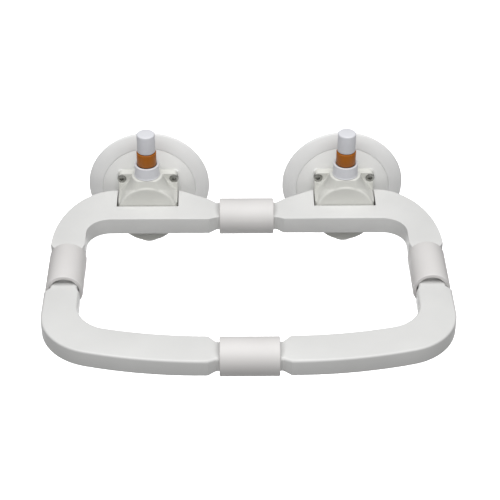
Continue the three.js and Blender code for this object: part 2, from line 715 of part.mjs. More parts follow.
function plungerRod() {
  const top = capBottom + CAP_SOCKET - GAP;
  const piston = PISTON_BOTTOM + PISTON_HEIGHT;
  const groove = PISTON_BOTTOM + (PISTON_HEIGHT - SEAL_GROOVE) / 2;
  const floor = pistonRadius - SEAL_SECTION - 2 * GAP;
  const profile = [
    [0, PISTON_BOTTOM], [pistonRadius, PISTON_BOTTOM], [pistonRadius, groove], [floor, groove],
    [floor, groove + SEAL_GROOVE], [pistonRadius, groove + SEAL_GROOVE], [pistonRadius, piston],
    [ROD_RADIUS, piston], [ROD_RADIUS, top], [0, top],
  ];
  return solid(turned(profile, SMALL_ROUND));
}

function pistonSeal() {
  const middle = PISTON_BOTTOM + PISTON_HEIGHT / 2;
  const centre = pistonRadius - SEAL_SECTION / 2 - GAP / 2;
  const section = Array.from({ length: SEAL_SIDES }, (_, i) => {
    const turn = (i / SEAL_SIDES) * 2 * Math.PI;
    return [centre + (SEAL_SECTION / 2) * Math.cos(turn), middle + (SEAL_SECTION / 2) * Math.sin(turn)];
  });
  return solid(turned(section, SMALL_ROUND, true));
}

function plungerCap() {
  const socket = capBottom + CAP_SOCKET;
  const bore = ROD_RADIUS + GAP;
  const rim = capRadius - CAP_EDGE;
  const profile = [
    [0, socket], [bore, socket], [bore, capBottom], [capRadius, capBottom], [capRadius, CAP_TOP - CAP_EDGE],
    [rim + CAP_EDGE * Math.SQRT1_2, CAP_TOP - CAP_EDGE * (1 - Math.SQRT1_2)], [rim, CAP_TOP], [0, CAP_TOP],
  ];
  return solid(turned(profile, SMALL_ROUND));
}

function indicatorBand() {
  const top = bandBottom + BAND_HEIGHT;
  const bore = ROD_RADIUS + GAP;
  const profile = [
    [bore, bandBottom], [bandRadius - BAND_EDGE, bandBottom], [bandRadius, bandBottom + BAND_EDGE],
    [bandRadius, top - BAND_EDGE], [bandRadius - BAND_EDGE, top], [bore, top],
  ];
  return solid(turned(profile, SMALL_ROUND, true));
}

class Helix extends THREE.Curve {
  constructor(radius, bottom, top, turns) {
    super();
    Object.assign(this, { radius, bottom, top, turns });
  }

  getPoint(t, target = new THREE.Vector3()) {
    const turn = 2 * Math.PI * this.turns * t;
    const z = this.bottom + (this.top - this.bottom) * t;
    return target.set(this.radius * Math.cos(turn), this.radius * Math.sin(turn), z);
  }
}

function returnSpring() {
  const bottom = barrelBottom + SPRING_WIRE;
  const top = PISTON_BOTTOM - SPRING_WIRE - GAP;
  const wire = new THREE.Shape().absarc(0, 0, SPRING_WIRE, 0, 2 * Math.PI);
  return solid(new THREE.ExtrudeGeometry(wire, {
    curveSegments: SPRING_DIVISIONS,
    steps: SPRING_TURNS * SPRING_STEPS_PER_TURN,
    extrudePath: new Helix(SPRING_RADIUS, bottom, top, SPRING_TURNS),
  }));
}

// ---------- Assembly ----------

const model = new THREE.Group();

function add(parent, name, body, material) {
  const mesh = new THREE.Mesh(geometryOf(body), material);
  mesh.name = name;
  parent.add(mesh);
  return mesh;
}

const SIDES = [
  { side: 'right', mirror: false },
  { side: 'left', mirror: true },
];

function handed(body, mirror) {
  return mirror ? body.mirror([1, 0, 0]) : body;
}

function addRing() {
  const ring = new THREE.Group();
  model.add(ring);
  const rear = rearCorner();
  const front = frontCorner();
  for (const { side, mirror } of SIDES) {
    add(ring, `rear_corner_${side}`, handed(rear, mirror), WHITE_PLASTIC);
    add(ring, `front_corner_${side}`, handed(front, mirror), WHITE_PLASTIC);
  }
  const sleeves = [
    { name: 'rear', x: 0, y: rearY, turn: 0 },
    { name: 'front', x: 0, y: frontY, turn: 0 },
    { name: 'right', x: sideX, y: sleeveSideY, turn: Math.PI / 2 },
    { name: 'left', x: -sideX, y: sleeveSideY, turn: Math.PI / 2 },
  ];
  for (const { name, x, y, turn } of sleeves) {
    const joint = new THREE.Group();
    joint.position.set(x, y, 0);
    joint.rotation.z = turn;
    ring.add(joint);
    add(joint, `sleeve_${name}`, sleeve(), SLEEVE_PLASTIC);
    add(joint, `sleeve_screw_${name}_a`, grubScrew(), STEEL).position.x = grubAxisX();
    add(joint, `sleeve_screw_${name}_b`, grubScrew(), STEEL).position.x = -grubAxisX();
  }
}

function addCup({ side, mirror }) {
  const cup = new THREE.Group();
  cup.position.x = mirror ? -cupX : cupX;
  model.add(cup);
  add(cup, `suction_pad_${side}`, suctionPad(), PAD_RUBBER);
  add(cup, `pad_backing_plate_${side}`, backingPlate(), WHITE_PLASTIC);
  add(cup, `hub_housing_${side}`, hubHousing(), WHITE_PLASTIC);
  add(cup, `check_valve_${side}`, checkValve(), BLACK_RUBBER);
  for (const place of screwPlaces()) {
    add(cup, `hub_screw_${side}_${place.name}`, handed(hubScrew(place), mirror), STEEL);
  }
  const pump = new THREE.Group();
  pump.position.y = pumpY;
  cup.add(pump);
  add(pump, `pump_barrel_${side}`, pumpBarrel(), GREY_NYLON);
  add(pump, `pump_collar_${side}`, pumpCollar(), WHITE_PLASTIC);
  add(pump, `barrel_end_cap_${side}`, barrelEndCap(), WHITE_PLASTIC);
  add(pump, `return_spring_${side}`, returnSpring(), STEEL);
  add(pump, `plunger_rod_${side}`, plungerRod(), GREY_NYLON);
  add(pump, `piston_seal_${side}`, pistonSeal(), BLACK_RUBBER);
  add(pump, `indicator_band_${side}`, indicatorBand(), ORANGE_PLASTIC);
  add(pump, `plunger_cap_${side}`, plungerCap(), WHITE_PLASTIC);
}

addRing();
SIDES.forEach(addCup);

export default model;
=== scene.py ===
"""Looks of a suction grab bar: a level ring of flat bar, held to a wall by two pumped vacuum cups."""

import logging
import math
from collections.abc import Callable, Iterator, Sequence
from contextlib import contextmanager
from dataclasses import dataclass, field
from enum import Enum, IntEnum

import bmesh
import bpy
from mathutils import Matrix, Vector


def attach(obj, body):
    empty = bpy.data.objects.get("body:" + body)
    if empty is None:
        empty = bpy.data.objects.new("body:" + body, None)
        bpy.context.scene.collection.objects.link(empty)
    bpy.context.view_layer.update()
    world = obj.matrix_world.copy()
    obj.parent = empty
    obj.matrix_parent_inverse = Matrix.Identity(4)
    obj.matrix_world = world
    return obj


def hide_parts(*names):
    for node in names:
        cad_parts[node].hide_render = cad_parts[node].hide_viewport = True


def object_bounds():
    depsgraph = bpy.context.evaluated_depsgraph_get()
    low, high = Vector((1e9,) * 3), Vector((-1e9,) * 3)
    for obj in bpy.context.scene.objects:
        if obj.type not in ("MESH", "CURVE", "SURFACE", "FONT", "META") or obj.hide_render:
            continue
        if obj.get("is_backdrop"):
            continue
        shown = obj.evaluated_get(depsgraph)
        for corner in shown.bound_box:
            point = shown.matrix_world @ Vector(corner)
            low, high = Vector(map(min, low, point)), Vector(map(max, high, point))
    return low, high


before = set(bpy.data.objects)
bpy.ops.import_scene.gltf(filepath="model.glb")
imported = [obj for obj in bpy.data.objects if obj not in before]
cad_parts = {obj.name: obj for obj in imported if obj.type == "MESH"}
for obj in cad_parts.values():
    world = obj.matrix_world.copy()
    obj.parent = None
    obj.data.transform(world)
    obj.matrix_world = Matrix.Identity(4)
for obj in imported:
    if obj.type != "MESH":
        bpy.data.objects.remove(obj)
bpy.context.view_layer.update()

log = logging.getLogger("grab_bar")
MM = 0.001
CUP_X = 96.5
PUMP_Y = -33.4
RISE = 3.0
PORT_Z = -19.0
BARREL_FIT = 11.3
GAP = 0.3
OVERLAP = 1.0
CHAMFER = 1.0
SHARP = 60.0
Piece = bpy.types.Object
Socket = bpy.types.NodeSocket
Edge = bmesh.types.BMEdge
Profile = Sequence[tuple[float, float]]
Colour = tuple[float, float, float]


class Axis(Enum):
    """The way a turned piece's own axis points once it is in place, as Euler angles from upright."""

    UP = (0.0, 0.0, 0.0)
    ALONG_WALL = (0.0, math.pi / 2, 0.0)
    INTO_WALL = (-math.pi / 2, 0.0, 0.0)


class Cutting(Enum):
    """How one solid is combined with another."""

    JOIN = "UNION"
    CUT = "DIFFERENCE"
    TRIM = "INTERSECT"


class Facets(IntEnum):
    """How many faces go round each kind of turned piece."""

    DISC = 160
    TUBE = 128
    BORE = 96
    SPIGOT = 64
    SCREW = 48
    GRUB = 32
    PORT = 24
    HEXAGON = 6


class Side(Enum):
    """The right-hand and left-hand halves, and the sign of X on each."""

    RIGHT = 1
    LEFT = -1

    @property
    def word(self) -> str:
        """The side's name as the nodes give it."""
        return self.name.lower()


# ---------- Bench: how pieces are made ----------


def deselect() -> None:
    """Leaves nothing selected."""
    bpy.ops.object.select_all(action="DESELECT")


def take(piece: Piece) -> None:
    """Makes a piece the only one selected, and the active one."""
    deselect()
    piece.select_set(True)
    bpy.context.view_layer.objects.active = piece


def started(name: str) -> Piece:
    """Names the primitive that was just added.

    Args:
        name: The piece's name.

    Returns:
        The new object.
    """
    piece = bpy.context.active_object
    piece.name = name
    piece.data.name = name
    return piece


@contextmanager
def editing(piece: Piece) -> Iterator[None]:
    """Opens a piece in edit mode with everything selected, and closes it again.

    Args:
        piece: The object to edit.
    """
    take(piece)
    bpy.ops.object.mode_set(mode="EDIT")
    bpy.ops.mesh.select_all(action="SELECT")
    yield
    bpy.ops.object.mode_set(mode="OBJECT")


def pick_edges(piece: Piece, test: Callable[[Edge], bool]) -> None:
    """Selects the edges that pass a test, in edit mode.

    Args:
        piece: The object being edited.
        test: Says whether an edge is wanted.
    """
    bpy.ops.mesh.select_mode(type="EDGE")
    bpy.ops.mesh.select_all(action="DESELECT")
    mesh = bmesh.from_edit_mesh(piece.data)
    for edge in mesh.edges:
        edge.select_set(test(edge))
    mesh.select_flush_mode()
    bmesh.update_edit_mesh(piece.data)


def pick_points(piece: Piece, wanted: set[int]) -> None:
    """Selects points by their number, in edit mode.

    Args:
        piece: The object being edited.
        wanted: Numbers of the points.
    """
    bpy.ops.mesh.select_mode(type="VERT")
    bpy.ops.mesh.select_all(action="DESELECT")
    mesh = bmesh.from_edit_mesh(piece.data)
    mesh.verts.ensure_lookup_table()
    for number in wanted:
        mesh.verts[number].select_set(True)
    mesh.select_flush_mode()
    bmesh.update_edit_mesh(piece.data)


def outwards(piece: Piece) -> None:
    """Merges doubled points and turns every face outwards.

    Args:
        piece: The object to clean.
    """
    with editing(piece):
        bpy.ops.mesh.remove_doubles(threshold=1e-6)
        bpy.ops.mesh.select_all(action="SELECT")
        bpy.ops.mesh.normals_make_consistent(inside=False)


def apply(piece: Piece, modifier: bpy.types.Modifier) -> None:
    """Applies a modifier."""
    take(piece)
    bpy.ops.object.modifier_apply(modifier=modifier.name)


def softened(piece: Piece, width: float, segments: int = 3, angle: float = SHARP) -> None:
    """Rounds the edges that turn by more than an angle.

    Args:
        piece: The object to round.
        width: Width of the rounding, in millimetres.
        segments: Faces across it.
        angle: Smallest turn, in degrees.
    """
    modifier = piece.modifiers.new("edges", "BEVEL")
    modifier.limit_method = "ANGLE"
    modifier.angle_limit = math.radians(angle)
    modifier.width = width * MM
    modifier.segments = segments
    apply(piece, modifier)


def combined(piece: Piece, tool: Piece, cutting: Cutting) -> None:
    """Joins, cuts or trims a piece by a second solid, which is used up.

    Args:
        piece: The object that stays.
        tool: The solid that is used.
        cutting: What to do with it.
    """
    modifier = piece.modifiers.new("combined", "BOOLEAN")
    modifier.operation = cutting.value
    modifier.solver = "EXACT"
    modifier.object = tool
    apply(piece, modifier)
    bpy.data.objects.remove(tool, do_unlink=True)


def smooth(piece: Piece, angle: float = 32.0) -> None:
    """Shades a piece smooth, apart from edges that turn by more than an angle in degrees."""
    take(piece)
    bpy.ops.object.shade_smooth_by_angle(angle=math.radians(angle))


def eased(piece: Piece, width: float, segments: int = 3, angle: float = SHARP, crisp: float = 32.0) -> Piece:
    """Rounds a piece's edges and shades it smooth.

    Args:
        piece: The object.
        width: Width of the rounding, in millimetres.
        segments: Faces across it.
        angle: Smallest turn that is rounded, in degrees.
        crisp: The turn that stays crisp in the shading, in degrees.

    Returns:
        The same object.
    """
    softened(piece, width, segments, angle)
    smooth(piece, crisp)
    return piece


def placed(piece: Piece, axis: Axis = Axis.UP, at: Sequence[float] = (0, 0, 0), turn: float = 0.0) -> Piece:
    """Turns and moves a piece, then applies it, so that its place is in its mesh.

    Args:
        piece: The object, made about the origin.
        axis: Where its own upright axis points.
        at: Where its origin goes, in millimetres.
        turn: Turn about the upright axis afterwards, in radians.

    Returns:
        The same object.
    """
    rest = Matrix.Rotation(turn, 4, "Z") @ Matrix(piece.matrix_world)
    tilt = Matrix.Rotation(axis.value[1], 4, "Y") @ Matrix.Rotation(axis.value[0], 4, "X")
    piece.matrix_world = Matrix.Translation(Vector(at) * MM) @ rest @ tilt
    take(piece)
    bpy.ops.object.transform_apply(location=True, rotation=True, scale=True)
    return piece


def copied(piece: Piece, name: str, mirrored: bool = False) -> Piece:
    """A copy of a piece with a mesh of its own.

    Args:
        piece: The object to copy.
        name: The copy's name.
        mirrored: Whether it is turned over to the other hand, across X.

    Returns:
        The copy.
    """
    take(piece)
    bpy.ops.object.duplicate(linked=False)
    twin = started(name)
    if mirrored:
        twin.scale.x = -1.0
        bpy.ops.object.transform_apply(location=True, rotation=True, scale=True)
        with editing(twin):
            bpy.ops.mesh.normals_make_consistent(inside=False)
    return twin


def turned(name: str, profile: Profile, facets: Facets, ring: bool = False) -> Piece:
    """Turns a piece about the upright axis: a circle is drawn out along the profile, step by step.

    Args:
        name: The piece's name.
        profile: Radii and heights in millimetres, from one end to the other.
        facets: Faces round it.
        ring: Whether the profile closes on itself, as a tube's does.

    Returns:
        The new object.
    """
    radius, height = profile[0]
    deselect()
    fill = "NOTHING" if ring else "NGON"
    bpy.ops.mesh.primitive_circle_add(vertices=facets, radius=radius * MM, fill_type=fill)
    piece = started(name)
    steps = [*profile, profile[0]] if ring else list(profile)
    with editing(piece):
        bpy.ops.transform.translate(value=(0, 0, height * MM))
        for (r0, z0), (r1, z1) in zip(steps, steps[1:]):
            bpy.ops.mesh.extrude_region_move(TRANSFORM_OT_translate={"value": (0, 0, (z1 - z0) * MM)})
            grow = r1 / r0
            bpy.ops.transform.resize(value=(grow, grow, 1), center_override=(0, 0, z1 * MM))
    outwards(piece)
    return piece


def drilled(
    piece: Piece, radius: float, ends: tuple[float, float], facets: Facets,
    axis: Axis = Axis.UP, at: Sequence[float] = (0, 0, 0),
) -> None:
    """Cuts a straight hole along an axis, its two ends counted from a point, in millimetres."""
    tool = turned("drill", [(radius, end) for end in ends], facets)
    combined(piece, placed(tool, axis, at), Cutting.CUT)


def block(name: str, low: Sequence[float], high: Sequence[float]) -> Piece:
    """A plain block between two corners, for cutting and joining.

    Args:
        name: The piece's name.
        low: Its lowest corner, in millimetres.
        high: Its highest corner, in millimetres.

    Returns:
        The new object.
    """
    deselect()
    middle = [(a + b) / 2 * MM for a, b in zip(low, high)]
    size = [(b - a) * MM for a, b in zip(low, high)]
    bpy.ops.mesh.primitive_cube_add(size=1, location=middle, scale=size)
    piece = started(name)
    bpy.ops.object.transform_apply(location=True, rotation=True, scale=True)
    return piece


def rounded_plate(
    name: str, half: tuple[float, float], corner: float, depth: tuple[float, float],
    middle: tuple[float, float], corner_steps: int = 8,
) -> Piece:
    """An upright plate with rounded corners: a face is laid down, bevelled and drawn out.

    Args:
        name: The piece's name.
        half: Half its width and half its height, in millimetres.
        corner: Radius of its corners.
        depth: Its front and its back, along Y.
        middle: Its middle in X and Z.
        corner_steps: Faces round each corner.

    Returns:
        The new object.
    """
    deselect()
    place = (middle[0] * MM, depth[0] * MM, middle[1] * MM)
    bpy.ops.mesh.primitive_plane_add(size=1, location=place, rotation=(math.pi / 2, 0, 0))
    piece = started(name)
    piece.scale = (2 * half[0] * MM, 2 * half[1] * MM, 1)
    bpy.ops.object.transform_apply(location=True, rotation=True, scale=True)
    with editing(piece):
        bpy.ops.mesh.bevel(offset=corner * MM, segments=corner_steps, affect="VERTICES")
        bpy.ops.mesh.select_all(action="SELECT")
        bpy.ops.mesh.extrude_region_move(TRANSFORM_OT_translate={"value": (0, (depth[1] - depth[0]) * MM, 0)})
    outwards(piece)
    return piece


def spaced(points: Sequence[Vector], count: int) -> list[Vector]:
    """Points at even steps along a path.

    Args:
        points: The path's own points.
        count: Number of steps.

    Returns:
        One point more than the steps.
    """
    lengths = [0.0]
    for a, b in zip(points, points[1:]):
        lengths.append(lengths[-1] + (b - a).length)
    found: list[Vector] = []
    i = 0
    for k in range(count + 1):
        goal = lengths[-1] * k / count
        while i < len(lengths) - 2 and lengths[i + 1] < goal:
            i += 1
        share = (goal - lengths[i]) / max(lengths[i + 1] - lengths[i], 1e-9)
        found.append(points[i].lerp(points[i + 1], min(max(share, 0.0), 1.0)))
    return found


# ---------- Finishes ----------


class Recipe:
    """A material under construction, with short calls for its nodes."""

    def __init__(self, name: str) -> None:
        """Starts a material.

        Args:
            name: The material's name.
        """
        self.material = bpy.data.materials.new(name)
        self.material.use_nodes = True
        self.tree = self.material.node_tree
        self.shader = self.tree.nodes["Principled BSDF"]
        self.place = self.tree.nodes.new("ShaderNodeTexCoord").outputs["Object"]

    def noise(self, size: float, detail: float = 2.0, stretch: Sequence[float] = (1, 1, 1)) -> Socket:
        """Noise over the piece.

        Args:
            size: Size of its patches, in millimetres.
            detail: Octaves of finer noise.
            stretch: How closely it is packed along X, Y and Z.

        Returns:
            The noise, from 0 to 1.
        """
        mapping = self.tree.nodes.new("ShaderNodeMapping")
        mapping.inputs["Scale"].default_value = stretch
        self.tree.links.new(self.place, mapping.inputs["Vector"])
        node = self.tree.nodes.new("ShaderNodeTexNoise")
        node.inputs["Scale"].default_value = 1 / (size * MM)
        node.inputs["Detail"].default_value = detail
        self.tree.links.new(mapping.outputs["Vector"], node.inputs["Vector"])
        return node.outputs["Fac"]

    def between(self, value: Socket, low: Colour, high: Colour) -> Socket:
        """Blends two colours by a value.

        Args:
            value: Runs from 0 to 1.
            low: The colour at 0.
            high: The colour at 1.

        Returns:
            The blended colour.
        """
        ramp = self.tree.nodes.new("ShaderNodeValToRGB")
        for stop, (position, colour) in zip(ramp.color_ramp.elements, ((0.3, low), (0.7, high))):
            stop.position = position
            stop.color = (*colour, 1)
        self.tree.links.new(value, ramp.inputs["Fac"])
        return ramp.outputs["Color"]

    def span(self, value: Socket, low: float, high: float) -> Socket:
        """Maps a value from 0..1 onto another span.

        Args:
            value: Runs from 0 to 1.
            low: The result at 0.
            high: The result at 1.

        Returns:
            The mapped value.
        """
        node = self.tree.nodes.new("ShaderNodeMapRange")
        node.inputs["To Min"].default_value = low
        node.inputs["To Max"].default_value = high
        self.tree.links.new(value, node.inputs["Value"])
        return node.outputs["Result"]

    def feed(self, socket: str, value: Socket) -> None:
        """Leads a value to the shader."""
        self.tree.links.new(value, self.shader.inputs[socket])

    def relief(self, *layers: tuple[Socket, float]) -> None:
        """Raises fine relief, coarse layers first.

        Args:
            layers: Heights from 0 to 1, each with its depth in millimetres.
        """
        below = None
        for height, depth in layers:
            bump = self.tree.nodes.new("ShaderNodeBump")
            bump.inputs["Distance"].default_value = depth * MM
            self.tree.links.new(height, bump.inputs["Height"])
            if below is not None:
                self.tree.links.new(below, bump.inputs["Normal"])
            below = bump.outputs["Normal"]
        if below is not None:
            self.feed("Normal", below)


@dataclass(frozen=True)
class Moulded:
    """Moulded plastic or rubber: a faintly clouded colour, and the fine grain that the tool leaves."""

    name: str
    slot: str
    colour: Colour
    clouded: Colour
    roughness: tuple[float, float] = (0.36, 0.5)
    grain: float = 0.55
    grain_depth: float = 0.012
    specular: float = 0.45
    sheen: float = 0.0
    cloud_size: float = 38.0
    wear_size: float = 9.0
    swell_size: float = 16.0
    swell_depth: float = 0.05

    def material(self) -> bpy.types.Material:
        """Makes the material.

        Returns:
            The new material.
        """
        recipe = Recipe(self.name)
        recipe.shader.inputs["Specular IOR Level"].default_value = self.specular
        recipe.shader.inputs["Sheen Weight"].default_value = self.sheen
        recipe.feed("Base Color", recipe.between(recipe.noise(self.cloud_size, 3), self.clouded, self.colour))
        recipe.feed("Roughness", recipe.span(recipe.noise(self.wear_size, 4), *self.roughness))
        fine = recipe.noise(self.grain, 2)
        recipe.relief((recipe.noise(self.swell_size, 1), self.swell_depth), (fine, self.grain_depth))
        return recipe.material


@dataclass(frozen=True)
class Metal:
    """Plated steel with fine turning marks and a little tarnish."""

    name: str
    slot: str
    colour: Colour
    tarnish: Colour
    roughness: tuple[float, float] = (0.22, 0.42)
    tarnish_size: float = 3.0
    wear_size: float = 0.8
    mark_size: float = 0.25
    mark_depth: float = 0.01

    def material(self) -> bpy.types.Material:
        """Makes the material.

        Returns:
            The new material.
        """
        recipe = Recipe(self.name)
        recipe.shader.inputs["Metallic"].default_value = 1.0
        stains = recipe.noise(self.tarnish_size, 4)
        recipe.feed("Base Color", recipe.between(stains, self.tarnish, self.colour))
        recipe.feed("Roughness", recipe.span(recipe.noise(self.wear_size, 3), *self.roughness))
        recipe.relief((recipe.noise(self.mark_size, 2, (1, 0.2, 1)), self.mark_depth))
        return recipe.material


@dataclass
class Finishes:
    """Every finish on the grab bar, made once each."""

    bar: Moulded = Moulded("bar_plastic", "white_plastic", (0.70, 0.70, 0.69), (0.67, 0.67, 0.66))
    hub: Moulded = Moulded("hub_plastic", "white_plastic", (0.72, 0.72, 0.68), (0.69, 0.69, 0.65))
    # Cooler white for the collar and cap. It is also lighter than the bar's plastic, partly as painted light
    # for the brighter light that falls on the pump.
    pump: Moulded = Moulded(
        "pump_plastic", "white_plastic", (0.74, 0.745, 0.78), (0.71, 0.715, 0.75), (0.3, 0.42), 0.4, 0.006
    )
    # Lighter than the bar's plastic: partly a whiter plate, and partly painted light for the brighter light
    # on the discs.
    plate: Moulded = Moulded(
        "plate_plastic", "white_plastic", (0.83, 0.83, 0.815), (0.79, 0.79, 0.775), (0.46, 0.58)
    )
    sleeve: Moulded = Moulded(
        "sleeve_plastic", "sleeve_plastic", (0.70, 0.685, 0.675), (0.67, 0.655, 0.645), (0.42, 0.56)
    )
    # A light pad: partly its own whiter rubber, and partly painted light for the brighter light on the discs.
    pad: Moulded = Moulded(
        "pad_elastomer", "pad_rubber", (0.83, 0.83, 0.825), (0.79, 0.79, 0.785), (0.5, 0.62),
        0.9, 0.015, 0.35, 0.05,
    )
    orange: Moulded = Moulded(
        "orange_plastic", "orange_plastic", (0.45, 0.14, 0.003), (0.37, 0.105, 0.002), (0.34, 0.48),
        0.4, 0.008,
    )
    nylon: Moulded = Moulded(
        "grey_nylon", "grey_nylon", (0.52, 0.53, 0.52), (0.47, 0.48, 0.47), (0.4, 0.52), 0.7, 0.01
    )
    rubber: Moulded = Moulded(
        "black_rubber", "black_rubber", (0.03, 0.03, 0.032), (0.02, 0.02, 0.022), (0.5, 0.7),
        0.5, 0.02, 0.3, 0.1,
    )
    steel: Metal = Metal("plated_steel", "steel", (0.50, 0.50, 0.48), (0.30, 0.30, 0.28))
    made: dict[str, bpy.types.Material] = field(default_factory=dict)

    def material(self, finish: Moulded | Metal) -> bpy.types.Material:
        """The material of a finish, made on first use.

        Args:
            finish: The finish.

        Returns:
            Its material.
        """
        if finish.name not in self.made:
            self.made[finish.name] = finish.material()
        return self.made[finish.name]

    def fit(self, piece: Piece, finish: Moulded | Metal, body: str, node: str) -> None:
        """Gives a new piece its finish and sets it in place of the plain one.

        Args:
            piece: The piece.
            finish: The finish, which also holds a slot name.
            body: The body that it moves with.
            node: The plain piece that it stands for.
        """
        piece.data.materials.clear()
        piece.data.materials.append(self.material(finish))
        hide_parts(node)
        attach(piece, body)
        log.info("%s: %d points, rides on %s", piece.name, len(piece.data.vertices), body)

    def redress(self, node: str, finish: Moulded | Metal) -> None:
        """Gives a piece that is kept as it came a better finish."""
        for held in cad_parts[node].material_slots:
            held.material = self.material(finish)


# ---------- Ring ----------


@dataclass(frozen=True)
class Station:
    """One upright section of the bar: its inner and outer points in plan, and its height, in millimetres."""

    inner: Vector
    outer: Vector
    height: float


@dataclass
class Bar:
    """The flat bar's sections, the round sleeves and how the bar's ends go into them, in millimetres."""

    width: float = 34.0
    front_width: float = 36.0
    arm_width: float = 32.0
    height: float = 17.5
    edge: float = 2.0
    neck_width: float = 25.0
    neck_height: float = 15.5
    neck_edge: float = 5.0
    neck_length: float = 3.0
    taper: float = 7.0
    sleeve_length: float = 52.5
    sleeve_radius: float = 17.3
    sleeve_bore: float = 13.5
    sleeve_edge: float = 1.0
    spigot_inset: float = 6.0
    spigot_overlap: float = 2.0
    grub_radius: float = 2.5
    grub_length: float = 8.0
    grub_inset: float = 0.4
    grub_from_end: float = 13.0
    grub_edge: float = 0.35
    grub_socket: float = 1.25
    socket_depth: float = 2.6
    hole_ends: tuple[float, float] = (-30.0, -8.5)

    @property
    def end(self) -> float:
        """How far the bar's full section starts from the middle of its sleeve."""
        return self.sleeve_length / 2 + self.neck_length + self.taper

    @property
    def grub_x(self) -> float:
        """How far a screw lies from the middle of its sleeve."""
        return self.sleeve_length / 2 - self.grub_from_end

    def drill(self, piece: Piece, x: float, facets: Facets) -> None:
        """Cuts a screw's hole in the underside of a sleeve or spigot."""
        drilled(piece, self.grub_radius + GAP, self.hole_ends, facets, at=(x, 0, 0))

    def end_stations(self, axis: Vector, along: Vector, across: Vector, width: float) -> list[Station]:
        """The sections of one bar end, from inside its sleeve to the full width.

        Args:
            axis: The sleeve's middle.
            along: The way into the bar.
            across: The way from the ring's inside to its outside.
            width: The full width there; the bar always reaches equally far outwards.

        Returns:
            Three sections.
        """
        half, neck, reach = self.sleeve_length / 2, self.neck_width / 2, self.width / 2
        rows = (
            (half - self.spigot_inset - self.spigot_overlap, neck, neck, self.neck_height),
            (half + self.neck_length, neck, neck, self.neck_height),
            (self.end, width - reach, reach, self.height),
        )
        return [
            Station(axis + along * d - across * inside, axis + along * d + across * outside, h)
            for d, inside, outside, h in rows
        ]

    def full(self, inner: Vector, outer: Vector) -> Station:
        """A section of full height between two points."""
        return Station(inner, outer, self.height)


def swept(name: str, stations: Sequence[Station]) -> Piece:
    """Draws an upright section out along a bar: each new section's two sides are moved to their own places.

    Args:
        name: The piece's name.
        stations: The sections, in order.

    Returns:
        The new object, with sharp edges.
    """
    first = stations[0]
    across = first.outer - first.inner
    middle = (first.inner + first.outer) / 2 * MM
    deselect()
    bpy.ops.mesh.primitive_plane_add(
        size=1, location=(middle.x, middle.y, 0), rotation=(math.pi / 2, 0, math.atan2(across.y, across.x))
    )
    piece = started(name)
    piece.scale = (across.length * MM, first.height * MM, 1)
    bpy.ops.object.transform_apply(location=True, rotation=True, scale=True)
    with editing(piece):
        for before, after in zip(stations, stations[1:]):
            bpy.ops.mesh.extrude_region_move(TRANSFORM_OT_translate={"value": (0, 0, 0)})
            mesh = bmesh.from_edit_mesh(piece.data)
            drawn = [point for point in mesh.verts if point.select]
            near = (before.inner * MM).to_3d()
            far = (before.outer * MM).to_3d()
            inner = {p.index for p in drawn if (p.co - near).xy.length < (p.co - far).xy.length}
            outer = {p.index for p in drawn} - inner
            moves = ((inner, after.inner - before.inner), (outer, after.outer - before.outer))
            for numbers, move in moves:
                pick_points(piece, numbers)
                step = move * MM
                bpy.ops.transform.translate(value=(step.x, step.y, 0))
            pick_points(piece, inner | outer)
            if after.height != before.height:
                grow = after.height / before.height
                bpy.ops.transform.resize(value=(1, 1, grow), center_override=(0, 0, 0))
    outwards(piece)
    return piece


def weighted(piece: Piece, width: float, rules: Sequence[tuple[float, Callable]]) -> None:
    """Rounds chosen edges, each rule's edges by its own share of a width.

    Args:
        piece: The object to round.
        width: The widest rounding, in millimetres.
        rules: A rounding in millimetres and the test for its edges, the first that fits an edge holding.
    """
    taken: set[int] = set()
    with editing(piece):
        for size, test in rules:
            mesh = bmesh.from_edit_mesh(piece.data)
            mesh.edges.ensure_lookup_table()
            chosen = {e.index for e in mesh.edges if e.index not in taken and test(e)}
            pick_edges(piece, lambda edge, chosen=chosen: edge.index in chosen)
            bpy.ops.transform.edge_bevelweight(value=size / width)
            taken |= chosen
    modifier = piece.modifiers.new("edges", "BEVEL")
    modifier.limit_method = "WEIGHT"
    modifier.width = width * MM
    modifier.segments = 5
    apply(piece, modifier)


